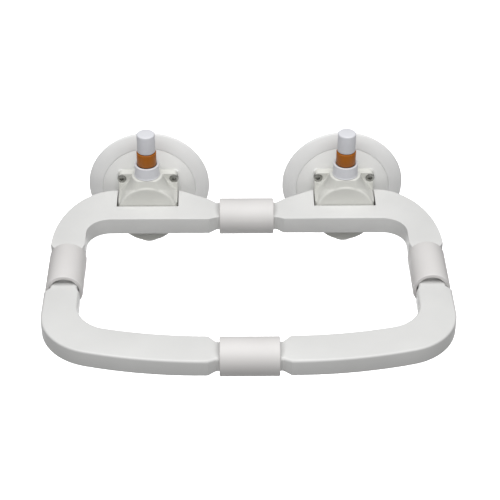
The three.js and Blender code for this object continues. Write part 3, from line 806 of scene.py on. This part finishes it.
@dataclass
class Ring:
    """The level ring: four corners, two of which take the cups, and four sleeves with their screws."""

    bar: Bar = field(default_factory=Bar)
    width: float = 336.4
    depth: float = 214.0
    setback: float = 54.0
    bow_radius: float = 400.0
    bend_outer: float = 56.0
    bend_inner: float = 34.0
    sleeve_reach: float = 119.7
    cheek_depth: float = 33.0
    cheek_wall: float = 0.6
    inner_radius: float = 22.0
    notch_half: float = 30.2
    notch_front: float = -49.4
    notch_edge: float = 0.7
    tongue_half: float = 16.0
    tongue_high: float = 6.0
    tongue_ring: float = 14.6
    hole_reach: float = 20.0
    bow_steps: int = 10
    bend_steps: int = 20
    rear_steps: int = 26
    quarter_steps: int = 64
    inner_stride: int = 4

    @property
    def side_x(self) -> float:
        """Where the side arms run."""
        return self.width / 2

    @property
    def rear_y(self) -> float:
        """Where the rear bar's middle runs."""
        return -self.setback

    @property
    def front_y(self) -> float:
        """Where the front bar's middle runs at its sleeve."""
        return self.rear_y - self.depth

    @property
    def sleeve_y(self) -> float:
        """Where the middles of the side sleeves lie."""
        return self.front_y + self.sleeve_reach

    @property
    def arm_inner_x(self) -> float:
        """Where the inner edges of the side arms run."""
        return self.side_x + self.bar.width / 2 - self.bar.arm_width

    def front_rail(self, bow: float, bend: float, front: float, side: float) -> list[Vector]:
        """One edge of a front corner.

        Args:
            bow: Radius of the gently bowed length.
            bend: Radius of the bend that follows it.
            front: Where the edge runs at the front sleeve, in Y.
            side: Where it runs along the side arm, in X.

        Returns:
            Points from the front sleeve's side to the arm.
        """
        start = self.bar.end
        angle = math.asin((side - bend - start) / (bow - bend))
        bend_y = front + bow - (bow - bend) * math.cos(angle)
        arcs = (
            (Vector((start, front + bow)), bow, 0.0, angle, self.bow_steps),
            (Vector((side - bend, bend_y)), bend, angle, math.pi / 2, self.bend_steps),
        )
        points = []
        for middle, radius, low, high, steps in arcs:
            for k in range(1, steps + 1):
                turn = low + (high - low) * k / steps
                points.append(middle + Vector((math.sin(turn), -math.cos(turn))) * radius)
        return points

    def front_stations(self) -> list[Station]:
        """Sections of the right-hand front corner, from its front sleeve to its side sleeve."""
        bar, half = self.bar, self.bar.width / 2
        outer = self.front_rail(
            self.bow_radius + half, self.bend_outer, self.front_y - half, self.side_x + half
        )
        inner = self.front_rail(
            self.bow_radius - half, self.bend_inner, self.front_y - half + bar.front_width, self.arm_inner_x
        )
        stations = bar.end_stations(
            Vector((0, self.front_y)), Vector((1, 0)), Vector((0, -1)), bar.front_width
        )
        stations += [bar.full(a, b) for a, b in zip(inner, outer)]
        side = bar.end_stations(
            Vector((self.side_x, self.sleeve_y)), Vector((0, -1)), Vector((1, 0)), bar.arm_width
        )
        return stations + side[::-1]

    def rear_stations(self) -> list[Station]:
        """Sections of the right-hand rear corner, with the notch for the hub stepped into its outer side."""
        bar, half = self.bar, self.bar.width / 2
        inner_y, cheek_y = self.rear_y - half, self.rear_y + self.cheek_depth
        cheek = self.notch_half + self.cheek_wall
        stations = bar.end_stations(Vector((0, self.rear_y)), Vector((1, 0)), Vector((0, 1)), bar.width)
        for x, y in (
            (CUP_X - cheek, cheek_y),
            (CUP_X - self.notch_half, cheek_y),
            (CUP_X - self.notch_half, self.notch_front),
            (CUP_X + self.notch_half, self.notch_front),
            (CUP_X + self.notch_half, cheek_y),
        ):
            stations.append(bar.full(Vector((x, inner_y)), Vector((x, y))))
        start, arm_y = CUP_X + cheek, self.sleeve_y + bar.end
        quarter = [math.pi / 2 * k / self.quarter_steps for k in range(self.quarter_steps + 1)]
        reach, rise = self.side_x + half - start, cheek_y - arm_y
        outer = [Vector((start + reach * math.sin(a), arm_y + rise * math.cos(a))) for a in quarter]
        bend_x, bend_y = self.arm_inner_x - self.inner_radius, inner_y - self.inner_radius
        inner = [Vector((start, inner_y))]
        inner += [
            Vector((bend_x + self.inner_radius * math.sin(a), bend_y + self.inner_radius * math.cos(a)))
            for a in quarter[:: self.inner_stride]
        ]
        inner.append(Vector((self.arm_inner_x, arm_y)))
        sides = zip(spaced(inner, self.rear_steps), spaced(outer, self.rear_steps))
        stations += [bar.full(a, b) for a, b in sides][:-1]
        side = bar.end_stations(
            Vector((self.side_x, self.sleeve_y)), Vector((0, 1)), Vector((1, 0)), bar.arm_width
        )
        return stations + side[::-1]

    def rounding(self) -> list[tuple[float, Callable]]:
        """What each kind of edge on a corner is rounded by."""
        bar = self.bar
        high, behind_notch = bar.height / 2 - 0.2, self.notch_front - 0.5
        slanted, slack = 45.0, 1e-5
        notch = ((CUP_X - self.notch_half) * MM, (CUP_X + self.notch_half) * MM)

        def turn(edge: Edge) -> float:
            """The angle between an edge's two faces, in degrees."""
            return math.degrees(edge.calc_face_angle(0.0))

        def in_notch(edge: Edge) -> bool:
            """Whether an edge belongs to the notch."""
            a, b = (point.co for point in edge.verts)
            behind = min(a.y, b.y) > behind_notch * MM
            within = all(notch[0] - slack < p.x < notch[1] + slack for p in (a, b))
            return behind and within and turn(edge) > SHARP

        def at_neck(edge: Edge) -> bool:
            """Whether an edge runs along a neck."""
            return turn(edge) > SHARP and all(abs(p.co.z) < high * MM for p in edge.verts)

        def at_taper(edge: Edge) -> bool:
            """Whether an edge runs from a neck to the full section."""
            heights = [abs(p.co.z) for p in edge.verts]
            return turn(edge) > slanted and min(heights) < high * MM < max(heights)

        return [
            (self.notch_edge, in_notch),
            (bar.neck_edge, at_neck),
            ((bar.neck_edge + bar.edge) / 2, at_taper),
            (bar.edge, lambda edge: turn(edge) > SHARP),
        ]

    def spigot(self) -> Piece:
        """The round spigot in a sleeve, pointing along +X from the sleeve's middle."""
        bar = self.bar
        radius, stop = bar.sleeve_bore - GAP, bar.sleeve_length / 2 - bar.spigot_inset
        profile = [
            (radius - CHAMFER, GAP), (radius, GAP + CHAMFER),
            (radius, stop - CHAMFER), (radius - CHAMFER, stop),
        ]
        piece = placed(turned("spigot", profile, Facets.SPIGOT), Axis.ALONG_WALL)
        bar.drill(piece, bar.grub_x, Facets.PORT)
        return piece

    def with_spigots(self, piece: Piece, ends: Sequence[tuple[Vector, float]]) -> None:
        """Joins a spigot to each end of a corner.

        Args:
            piece: The corner.
            ends: Each sleeve's middle and the spigot's direction, in radians.
        """
        for middle, turn in ends:
            combined(piece, placed(self.spigot(), at=(middle.x, middle.y, 0), turn=turn), Cutting.JOIN)

    def tongue(self) -> Piece:
        """The tongue that reaches into the hub, and its eye round the pump."""
        half, high, pump = self.tongue_half, self.tongue_high, (CUP_X, PUMP_Y, 0)
        root = self.notch_front - self.bar.edge
        piece = block("tongue", (CUP_X - half, root, -high), (CUP_X + half, PUMP_Y, high))
        eye = turned("eye", [(self.tongue_ring, -high), (self.tongue_ring, high)], Facets.SPIGOT)
        combined(piece, placed(eye, at=pump), Cutting.JOIN)
        drilled(piece, BARREL_FIT, (-self.hole_reach, self.hole_reach), Facets.SPIGOT, at=pump)
        return piece

    def corners(self, finishes: Finishes) -> None:
        """Makes the four corners.

        Args:
            finishes: The finishes to use.
        """
        side = Vector((self.side_x, self.sleeve_y))
        front = swept("front_corner_right_white", self.front_stations())
        weighted(front, self.bar.neck_edge, self.rounding())
        self.with_spigots(front, [(Vector((0, self.front_y)), 0.0), (side, -math.pi / 2)])
        rear = swept("rear_corner_right_white", self.rear_stations())
        weighted(rear, self.bar.neck_edge, self.rounding())
        combined(rear, self.tongue(), Cutting.JOIN)
        self.with_spigots(rear, [(Vector((0, self.rear_y)), 0.0), (side, math.pi / 2)])
        for right, kind in ((front, "front_corner"), (rear, "rear_corner")):
            smooth(right)
            left = copied(right, f"{kind}_left_white", mirrored=True)
            for piece, word in ((right, "right"), (left, "left")):
                finishes.fit(piece, finishes.bar, "ring", f"{kind}_{word}")

    def sleeve(self) -> Piece:
        """A sleeve along X about the origin, with the holes for its two grub screws."""
        bar = self.bar
        r0, r1, half = bar.sleeve_bore, bar.sleeve_radius, bar.sleeve_length / 2
        profile = [(r1, -half), (r1, half), (r0, half), (r0, -half)]
        piece = placed(turned("sleeve", profile, Facets.TUBE, ring=True), Axis.ALONG_WALL)
        softened(piece, bar.sleeve_edge, 4)
        for sign in (-1, 1):
            bar.drill(piece, sign * bar.grub_x, Facets.GRUB)
        smooth(piece)
        return piece

    def grub(self) -> Piece:
        """A headless screw with a six-sided socket in its foot, at the underside of a sleeve."""
        bar = self.bar
        foot = bar.grub_inset - bar.sleeve_radius
        top = foot + bar.grub_length
        piece = turned("grub", [(bar.grub_radius, foot), (bar.grub_radius, top)], Facets.GRUB)
        softened(piece, bar.grub_edge, 2)
        drilled(piece, bar.grub_socket, (foot - OVERLAP, foot + bar.socket_depth), Facets.HEXAGON)
        smooth(piece)
        return piece

    def sleeves(self, finishes: Finishes) -> None:
        """Makes the four sleeves and their screws.

        Args:
            finishes: The finishes to use.
        """
        sleeve, grub, reach = self.sleeve(), self.grub(), self.bar.grub_x
        places = (
            ("rear", (0.0, self.rear_y), 0.0),
            ("front", (0.0, self.front_y), 0.0),
            ("right", (self.side_x, self.sleeve_y), math.pi / 2),
            ("left", (-self.side_x, self.sleeve_y), math.pi / 2),
        )
        for name, (x, y), turn in places:
            piece = placed(copied(sleeve, f"sleeve_{name}_round"), at=(x, y, 0), turn=turn)
            finishes.fit(piece, finishes.sleeve, "ring", f"sleeve_{name}")
            for letter, sign in (("a", 1), ("b", -1)):
                at = (x + sign * reach * math.cos(turn), y + sign * reach * math.sin(turn), 0)
                screw = placed(copied(grub, f"sleeve_screw_{name}_{letter}_steel"), at=at)
                finishes.fit(screw, finishes.steel, "ring", f"sleeve_screw_{name}_{letter}")
        for pattern in (sleeve, grub):
            bpy.data.objects.remove(pattern, do_unlink=True)

    def build(self, finishes: Finishes) -> None:
        """Makes the whole ring."""
        self.corners(finishes)
        self.sleeves(finishes)


# ---------- Cups and pumps ----------


@dataclass
class Hub:
    """The housing that carries the pump and holds the ring: a drum, a bell-shaped tower and an ear plate."""

    front: float = -48.5
    drum: float = 28.8
    drum_edge: float = 1.2
    drum_drop: float = 4.6
    ear_half: tuple[float, float] = (29.0, 27.5)
    ear_front: float = -24.0
    ear_back: float = -16.0
    ear_corner: float = 5.0
    tower_top: float = 35.6
    tower_radius: float = 15.0
    foot_radius: float = 30.1
    foot_bottom: float = 0.5
    foot: float = 9.0
    waist_radius: float = 19.0
    waist: float = 20.0
    slant: float = 2.6
    slant_from: float = 27.0
    wedge_depth: float = 6.0
    flank_steps: int = 14
    face_lip: float = 0.8
    slot_half: float = 17.5
    slot_high: float = 6.3
    slot_back: float = -18.5
    screw_x: float = 25.8
    screw_z: float = 20.8
    screw_recess: float = 4.5
    screw_floor: float = -19.4
    screw_hole: float = 2.8
    port_pocket: float = 4.8
    port_floor: float = -22.2
    collar_seat: float = 12.8
    dome_seat: float = 12.7
    dome_seat_z: float = -30.0
    cut_reach: float = 60.0
    voxel: float = 0.6
    quick_voxels: float = 2.5
    soften: int = 7

    def tower(self) -> Piece:
        """The tower: turned to its bell shape, then trimmed in front, behind and at both sides."""
        foot, waist = Vector((self.foot_radius, self.foot)), Vector((self.waist_radius, self.waist))
        top = Vector((self.tower_radius, self.tower_top))
        flank = []
        for k in range(self.flank_steps + 1):
            t = k / self.flank_steps
            flank.append(tuple(foot * (1 - t) ** 2 + waist * (2 * t * (1 - t)) + top * t**2))
        piece = turned("tower", [(self.foot_radius, self.foot_bottom), *flank], Facets.BORE)
        placed(piece, at=(0, PUMP_Y, 0))
        front, half = self.front + self.face_lip, self.ear_half[0]
        trim = block("trim", (-half, front, 0), (half, self.ear_front + OVERLAP, self.tower_top + OVERLAP))
        combined(piece, trim, Cutting.TRIM)
        top, wide = self.tower_top + 2 * OVERLAP, half + OVERLAP
        wedge = block("wedge", (-wide, front - self.wedge_depth, self.slant_from), (wide, front, top))
        corner = Vector((front, top)) * MM - Vector((1, 1)) * 1e-4
        with editing(wedge):
            pick_edges(wedge, lambda e: all(p.co.y > corner.x and p.co.z > corner.y for p in e.verts))
            bpy.ops.transform.translate(value=(0, self.slant * MM, 0))
        combined(piece, wedge, Cutting.CUT)
        return piece

    def build(self) -> Piece:
        """Makes the housing about the cup's own middle line.

        Returns:
            The new object.
        """
        drum = turned("hub_housing", [
            (self.drum - self.drum_edge, self.front), (self.drum, self.front + self.drum_edge),
            (self.drum, self.ear_front + OVERLAP),
        ], Facets.TUBE)
        placed(drum, Axis.INTO_WALL)
        below = {p.index for p in drum.data.vertices if p.co.z < -0.01 * MM}
        with editing(drum):
            pick_points(drum, below)
            bpy.ops.transform.translate(value=(0, 0, -self.drum_drop * MM))
        combined(drum, self.tower(), Cutting.JOIN)
        ear = rounded_plate("ear", self.ear_half, self.ear_corner, (self.ear_front, self.ear_back), (0, RISE))
        combined(drum, ear, Cutting.JOIN)
        upright = (
            (BARREL_FIT, (-self.cut_reach, self.cut_reach)),
            (self.collar_seat, (self.tower_top, self.cut_reach)),
            (self.dome_seat, (-self.cut_reach, self.dome_seat_z)),
        )
        for radius, ends in upright:
            drilled(drum, radius, ends, Facets.BORE, at=(0, PUMP_Y, 0))
        slot = block("slot", (-self.slot_half, self.front - OVERLAP, -self.slot_high),
                     (self.slot_half, self.slot_back, self.slot_high))
        combined(drum, slot, Cutting.CUT)
        back = self.ear_back + OVERLAP
        drilled(drum, self.port_pocket, (self.port_floor, back), Facets.GRUB, Axis.INTO_WALL, (0, 0, PORT_Z))
        rows = [(self.screw_recess, self.front - OVERLAP), (self.screw_recess, self.screw_floor),
                (self.screw_hole, self.screw_floor), (self.screw_hole, back)]
        for x in (-self.screw_x, self.screw_x):
            for z in (RISE - self.screw_z, RISE + self.screw_z):
                recess = placed(turned("recess", rows, Facets.SCREW), Axis.INTO_WALL, (x, 0, z))
                combined(drum, recess, Cutting.CUT)
        remesh = drum.modifiers.new("skin", "REMESH")
        remesh.mode = "VOXEL"
        remesh.voxel_size = self.voxel * 1 * MM
        apply(drum, remesh)
        soften = drum.modifiers.new("soften", "SMOOTH")
        soften.factor = 0.5
        soften.iterations = self.soften
        apply(drum, soften)
        take(drum)
        bpy.ops.object.shade_smooth()
        return drum


@dataclass
class HubScrew:
    """A cap screw with a six-sided socket, lying along +Y."""

    head_radius: float = 4.2
    radius: float = 2.5
    top: float = -23.7
    seat: float = -19.7
    end: float = -11.7
    socket: float = 2.3
    socket_depth: float = 2.2
    edge: float = 0.5

    def build(self) -> Piece:
        """Makes the screw about its own axis.

        Returns:
            The new object.
        """
        rows = [(self.head_radius, self.top), (self.head_radius, self.seat), (self.radius, self.seat),
                (self.radius, self.end)]
        piece = turned("hub_screw", rows, Facets.SCREW)
        softened(piece, self.edge)
        drilled(piece, self.socket, (self.top - OVERLAP, self.top + self.socket_depth), Facets.HEXAGON)
        placed(piece, Axis.INTO_WALL)
        smooth(piece)
        return piece


@dataclass
class Disc:
    """The rigid plate behind the hub and the rubber pad that it presses to the wall."""

    plate_radius: float = 46.0
    plate_front: float = 15.7
    plate_back: float = 8.2
    plate_rim: float = 5.2
    plate_flat: float = 31.0
    cone_drop: float = 6.6
    cone_power: float = 1.25
    boss: float = 4.6
    pad_radius: float = 60.0
    lip_width: float = 9.0
    lip_slope: float = 2.0
    groove: Profile = ((5.0, 0.0), (4.6, 0.5), (4.0, 0.5), (3.6, 0.0))
    pad_edge: float = 3.5
    pad_round: float = 0.6
    hollow: float = 3.0
    web: float = 9.0
    web_share: float = 0.8
    shoulder_drop: float = 0.2
    seam: float = 0.12
    edge: float = 0.2
    cone_rings: int = 8
    port: float = 2.0
    port_start: float = -30.0

    def at_wall(self, profile: Profile) -> list[tuple[float, float]]:
        """A profile of radii and distances from the wall, as heights along +Y."""
        return [(radius, -distance) for radius, distance in profile]

    def cone(self) -> list[tuple[float, float]]:
        """Radii and distances from the wall of the rings between the plate's rim and its flat middle."""
        reach = self.plate_radius - self.plate_flat
        rings = [reach * k / self.cone_rings for k in range(self.cone_rings)]
        return [
            (self.plate_flat + r, self.plate_front - self.cone_drop * (r / reach) ** self.cone_power)
            for r in reversed(rings)
        ]

    def pierced(self, piece: Piece) -> None:
        """Cuts the air passage."""
        drilled(piece, self.port, (self.port_start, OVERLAP), Facets.PORT, Axis.INTO_WALL, (0, 0, PORT_Z))

    def plate(self, screws: Sequence[tuple[float, float]], hole: float, hole_end: float) -> Piece:
        """The rigid plate.

        Args:
            screws: Where the hub's screws go in, in X and Z.
            hole: Radius of their holes.
            hole_end: Where the holes end, along Y.

        Returns:
            The new object.
        """
        rim = self.plate_front - self.cone_drop
        profile = self.at_wall([
            (self.plate_flat, self.plate_back), (self.plate_radius - CHAMFER, self.plate_rim),
            (self.plate_radius, self.plate_rim + CHAMFER), (self.plate_radius, rim), *self.cone(),
        ])
        piece = placed(turned("pad_backing_plate", profile, Facets.DISC), Axis.INTO_WALL, (0, 0, RISE))
        rows = self.at_wall([(self.boss, self.plate_front), (self.boss, self.plate_back + OVERLAP)])
        for x, z in screws:
            boss = placed(turned("boss", rows, Facets.SCREW), Axis.INTO_WALL, (x, 0, z))
            combined(piece, boss, Cutting.JOIN)
        ends = (-self.plate_front - OVERLAP, hole_end)
        for x, z in screws:
            drilled(piece, hole, ends, Facets.GRUB, Axis.INTO_WALL, (x, 0, z))
        self.pierced(piece)
        return eased(piece, self.edge, 2, 40, 40)

    def pad(self) -> Piece:
        """The rubber pad, with a fine groove round its flat sealing lip and a shallow hollow inside it."""
        back, rim = self.plate_back - GAP, self.plate_rim - GAP
        shoulder = self.plate_front - self.cone_drop - self.shoulder_drop
        socket, lip = self.plate_radius + self.seam, self.pad_radius - self.lip_width
        profile = self.at_wall([
            (self.plate_flat, back), (self.plate_radius - CHAMFER, rim), (socket, rim + CHAMFER),
            (socket, shoulder), (socket + CHAMFER, shoulder),
            (self.pad_radius - self.pad_round, self.pad_edge),
            (self.pad_radius, self.pad_edge / 2), (self.pad_radius - self.pad_round, 0.0),
            *((lip + out, depth) for out, depth in self.groove),
            (lip, 0.0), (lip - self.lip_slope, self.hollow / 2),
            (self.plate_flat + self.web, self.hollow * self.web_share), (self.plate_flat, self.hollow),
        ])
        piece = placed(turned("suction_pad", profile, Facets.DISC), Axis.INTO_WALL, (0, 0, RISE))
        self.pierced(piece)
        return eased(piece, self.edge, 2, 24, 24)


@dataclass
class Pump:
    """The hand pump in the hub: collar, end cap, coloured band and the cap that is pressed."""

    bore: float = 9.8
    collar: float = 12.0
    collar_edge: float = 0.45
    flange: float = 12.5
    flange_step: float = 0.5
    collar_bottom: float = 35.9
    collar_top: float = 48.0
    collar_lip: float = 1.4
    dome_radius: float = 12.4
    dome_top: float = -30.3
    dome_rim: float = 2.0
    dome_bottom: float = -40.5
    dome_steps: int = 18
    dome_tip: float = 0.4
    dome_edge: float = 0.3
    barrel_bottom: float = -36.0
    band_radius: float = 9.5
    band_bottom: float = 48.3
    band_top: float = 61.7
    band_edge: float = 0.5
    cap_radius: float = 8.8
    cap_bottom: float = 62.0
    cap_top: float = 82.0
    cap_edge: float = 1.4
    cap_socket: float = 12.0
    rod: float = 4.0

    @property
    def rod_fit(self) -> float:
        """Radius of the holes that the rod goes through."""
        return self.rod + GAP

    def collar_piece(self) -> Piece:
        """The collar on the tower, with its flange and the lip over the barrel."""
        low, high = self.collar_bottom, self.collar_top
        piece = turned("pump_collar", [
            (BARREL_FIT, low), (self.flange, low), (self.flange, low + self.flange_step),
            (self.collar, low + 2 * self.flange_step), (self.collar, high), (self.bore, high),
            (self.bore, high - self.collar_lip), (BARREL_FIT, high - self.collar_lip),
        ], Facets.TUBE, ring=True)
        return eased(piece, self.collar_edge, angle=24)

    def dome_piece(self) -> Piece:
        """The domed cap that closes the barrel below the hub."""
        start, radius = self.dome_top - self.dome_rim, self.dome_radius
        rows = [(BARREL_FIT, self.barrel_bottom - GAP), (BARREL_FIT, self.dome_top), (radius, self.dome_top)]
        for k in range(self.dome_steps):
            turn = math.pi / 2 * k / self.dome_steps
            rows.append((radius * math.cos(turn), start + (self.dome_bottom - start) * math.sin(turn)))
        rows.append((self.dome_tip, self.dome_bottom))
        return eased(turned("barrel_end_cap", rows, Facets.TUBE), self.dome_edge, 2)

    def band_piece(self) -> Piece:
        """The coloured band under the cap."""
        piece = turned("indicator_band", [
            (self.rod_fit, self.band_bottom), (self.band_radius, self.band_bottom),
            (self.band_radius, self.band_top), (self.rod_fit, self.band_top),
        ], Facets.TUBE, ring=True)
        return eased(piece, self.band_edge)

    def cap_piece(self) -> Piece:
        """The cap that is pressed, with the socket for its rod."""
        piece = turned("plunger_cap", [
            (self.rod_fit, self.cap_bottom + self.cap_socket), (self.rod_fit, self.cap_bottom),
            (self.cap_radius, self.cap_bottom), (self.cap_radius, self.cap_top),
        ], Facets.TUBE)
        return eased(piece, self.cap_edge, 5)


@dataclass
class Cups:
    """Both vacuum cups with their hubs and pumps, each made once and copied to its side."""

    hub: Hub = field(default_factory=Hub)
    screw: HubScrew = field(default_factory=HubScrew)
    disc: Disc = field(default_factory=Disc)
    pump: Pump = field(default_factory=Pump)

    def screw_places(self) -> list[tuple[str, float, float]]:
        """The names and places of a right-hand hub's screws; `outer` is away from the other cup."""
        hub = self.hub
        return [
            (f"{level}_{hand}", sign * hub.screw_x, RISE + rise * hub.screw_z)
            for level, rise in (("upper", 1), ("lower", -1))
            for hand, sign in (("inner", -1), ("outer", 1))
        ]

    def build(self, finishes: Finishes) -> None:
        """Makes both cups.

        Args:
            finishes: The finishes to use.
        """
        places = self.screw_places()
        sites = [(x, z) for _, x, z in places]
        whole = [
            (self.hub.build(), finishes.hub, "cup", 0.0),
            (
                self.disc.plate(sites, self.screw.radius + GAP, self.screw.end + GAP),
                finishes.plate, "cup", 0.0,
            ),
            (self.disc.pad(), finishes.pad, "cup", 0.0),
            (self.pump.collar_piece(), finishes.pump, "cup", PUMP_Y),
            (self.pump.dome_piece(), finishes.hub, "cup", PUMP_Y),
            (self.pump.band_piece(), finishes.orange, "plunger", PUMP_Y),
            (self.pump.cap_piece(), finishes.pump, "plunger", PUMP_Y),
        ]
        screw = self.screw.build()
        for side in Side:
            for pattern, finish, body, y in whole:
                node = f"{pattern.name}_{side.word}"
                piece = placed(copied(pattern, f"{node}_shaped"), at=(side.value * CUP_X, y, 0))
                finishes.fit(piece, finish, f"{body}_{side.word}", node)
            for name, x, z in places:
                node = f"hub_screw_{side.word}_{name}"
                piece = placed(copied(screw, f"{node}_steel"), at=(side.value * (CUP_X + x), 0, z))
                finishes.fit(piece, finishes.steel, f"cup_{side.word}", node)
            self.redress(finishes, side)
        for pattern in [row[0] for row in whole] + [screw]:
            bpy.data.objects.remove(pattern, do_unlink=True)

    def redress(self, finishes: Finishes, side: Side) -> None:
        """Gives the inner pieces of one pump their finishes.

        Args:
            finishes: The finishes to use.
            side: Which pump.
        """
        kept = (
            ("pump_barrel", finishes.nylon), ("plunger_rod", finishes.nylon),
            ("piston_seal", finishes.rubber), ("check_valve", finishes.rubber),
            ("return_spring", finishes.steel),
        )
        for node, finish in kept:
            finishes.redress(f"{node}_{side.word}", finish)


# ---------- Studio ----------


@dataclass(frozen=True)
class Lamp:
    """A soft square light: its place, side and aim in metres, and its power in watts."""

    name: str
    at: tuple[float, float, float]
    size: float
    power: float
    aim: tuple[float, float, float]

    def build(self) -> None:
        """Hangs the light."""
        data = bpy.data.lights.new(self.name, "AREA")
        data.shape = "SQUARE"
        data.size = self.size
        data.energy = self.power
        lamp = bpy.data.objects.new(self.name, data)
        lamp.location = self.at
        lamp.rotation_euler = (Vector(self.at) - Vector(self.aim)).to_track_quat("Z", "Y").to_euler()
        bpy.context.scene.collection.objects.link(lamp)


@dataclass
class Studio:
    """A plain pale floor, broad soft light and the camera: lengths in metres, turns in degrees."""

    camera_at: Sequence[float] = (-0.0198, -1.3186, 0.8749)
    yaw: float = 1.064
    pitch: float = 35.915
    roll: float = -0.334
    lens: float = 113.27
    sensor: float = 36.0
    floor_drop: float = 2.0
    floor_size: float = 14.0
    floor_cuts: int = 4
    floor_patches: float = 300.0
    floor_grey: Colour = (0.94, 0.94, 0.94)
    floor_white: Colour = (0.96, 0.96, 0.96)
    air: float = 0.14
    overhead: Lamp = Lamp("overhead", (0, -0.84, 2.05), 2.8, 74.0, (0, -0.1, 0))
    floor_wash: Lamp = Lamp("floor_wash", (0, 3.2, -0.5), 4.0, 130.0, (0, 3.2, -2.0))

    def camera(self) -> None:
        """Sets up the camera."""
        data = bpy.data.cameras.new("camera")
        data.lens = self.lens
        data.sensor_width = self.sensor
        camera = bpy.data.objects.new("camera", data)
        yaw, pitch, roll = (math.radians(angle) for angle in (self.yaw, self.pitch, self.roll))
        forward = Vector((math.sin(yaw) * math.cos(pitch), math.cos(yaw) * math.cos(pitch), -math.sin(pitch)))
        right = Vector((math.cos(yaw), -math.sin(yaw), 0.0))
        down = forward.cross(right)
        x = right * math.cos(roll) + down * math.sin(roll)
        y = right * math.sin(roll) - down * math.cos(roll)
        turn = Matrix((x, y, -forward)).transposed().to_4x4()
        camera.matrix_world = Matrix.Translation(self.camera_at) @ turn
        bpy.context.scene.collection.objects.link(camera)
        bpy.context.scene.camera = camera

    def floor(self) -> None:
        """Lays the floor well below the grab bar, which hangs on its wall."""
        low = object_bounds()[0]
        deselect()
        bpy.ops.mesh.primitive_grid_add(
            x_subdivisions=self.floor_cuts, y_subdivisions=self.floor_cuts, size=self.floor_size,
            location=(0, 0, Vector(low).z - self.floor_drop),
        )
        piece = started("floor")
        bpy.ops.object.transform_apply(location=True, rotation=True, scale=True)
        recipe = Recipe("floor_paint")
        patches = recipe.noise(self.floor_patches, 2)
        recipe.feed("Base Color", recipe.between(patches, self.floor_grey, self.floor_white))
        recipe.shader.inputs["Roughness"].default_value = 0.9
        recipe.shader.inputs["Specular IOR Level"].default_value = 0.1
        piece.data.materials.append(recipe.material)
        piece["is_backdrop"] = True

    def build(self) -> None:
        """Sets up the whole studio."""
        scene = bpy.context.scene
        scene.view_settings.view_transform = "Standard"
        world = bpy.data.worlds.new("studio_air")
        world.use_nodes = True
        background = world.node_tree.nodes["Background"]
        background.inputs["Color"].default_value = (1, 1, 1, 1)
        background.inputs["Strength"].default_value = self.air
        scene.world = world
        self.floor()
        self.overhead.build()
        self.floor_wash.build()
        self.camera()


def main() -> None:
    """Builds the grab bar and sets up the studio."""
    logging.basicConfig(level=logging.INFO, format="%(name)s: %(message)s")
    finishes = Finishes()
    for part in (Ring(), Cups()):
        log.info("building %s", type(part).__name__)
        part.build(finishes)
    Studio().build()


if __name__ == "__main__":
    main()
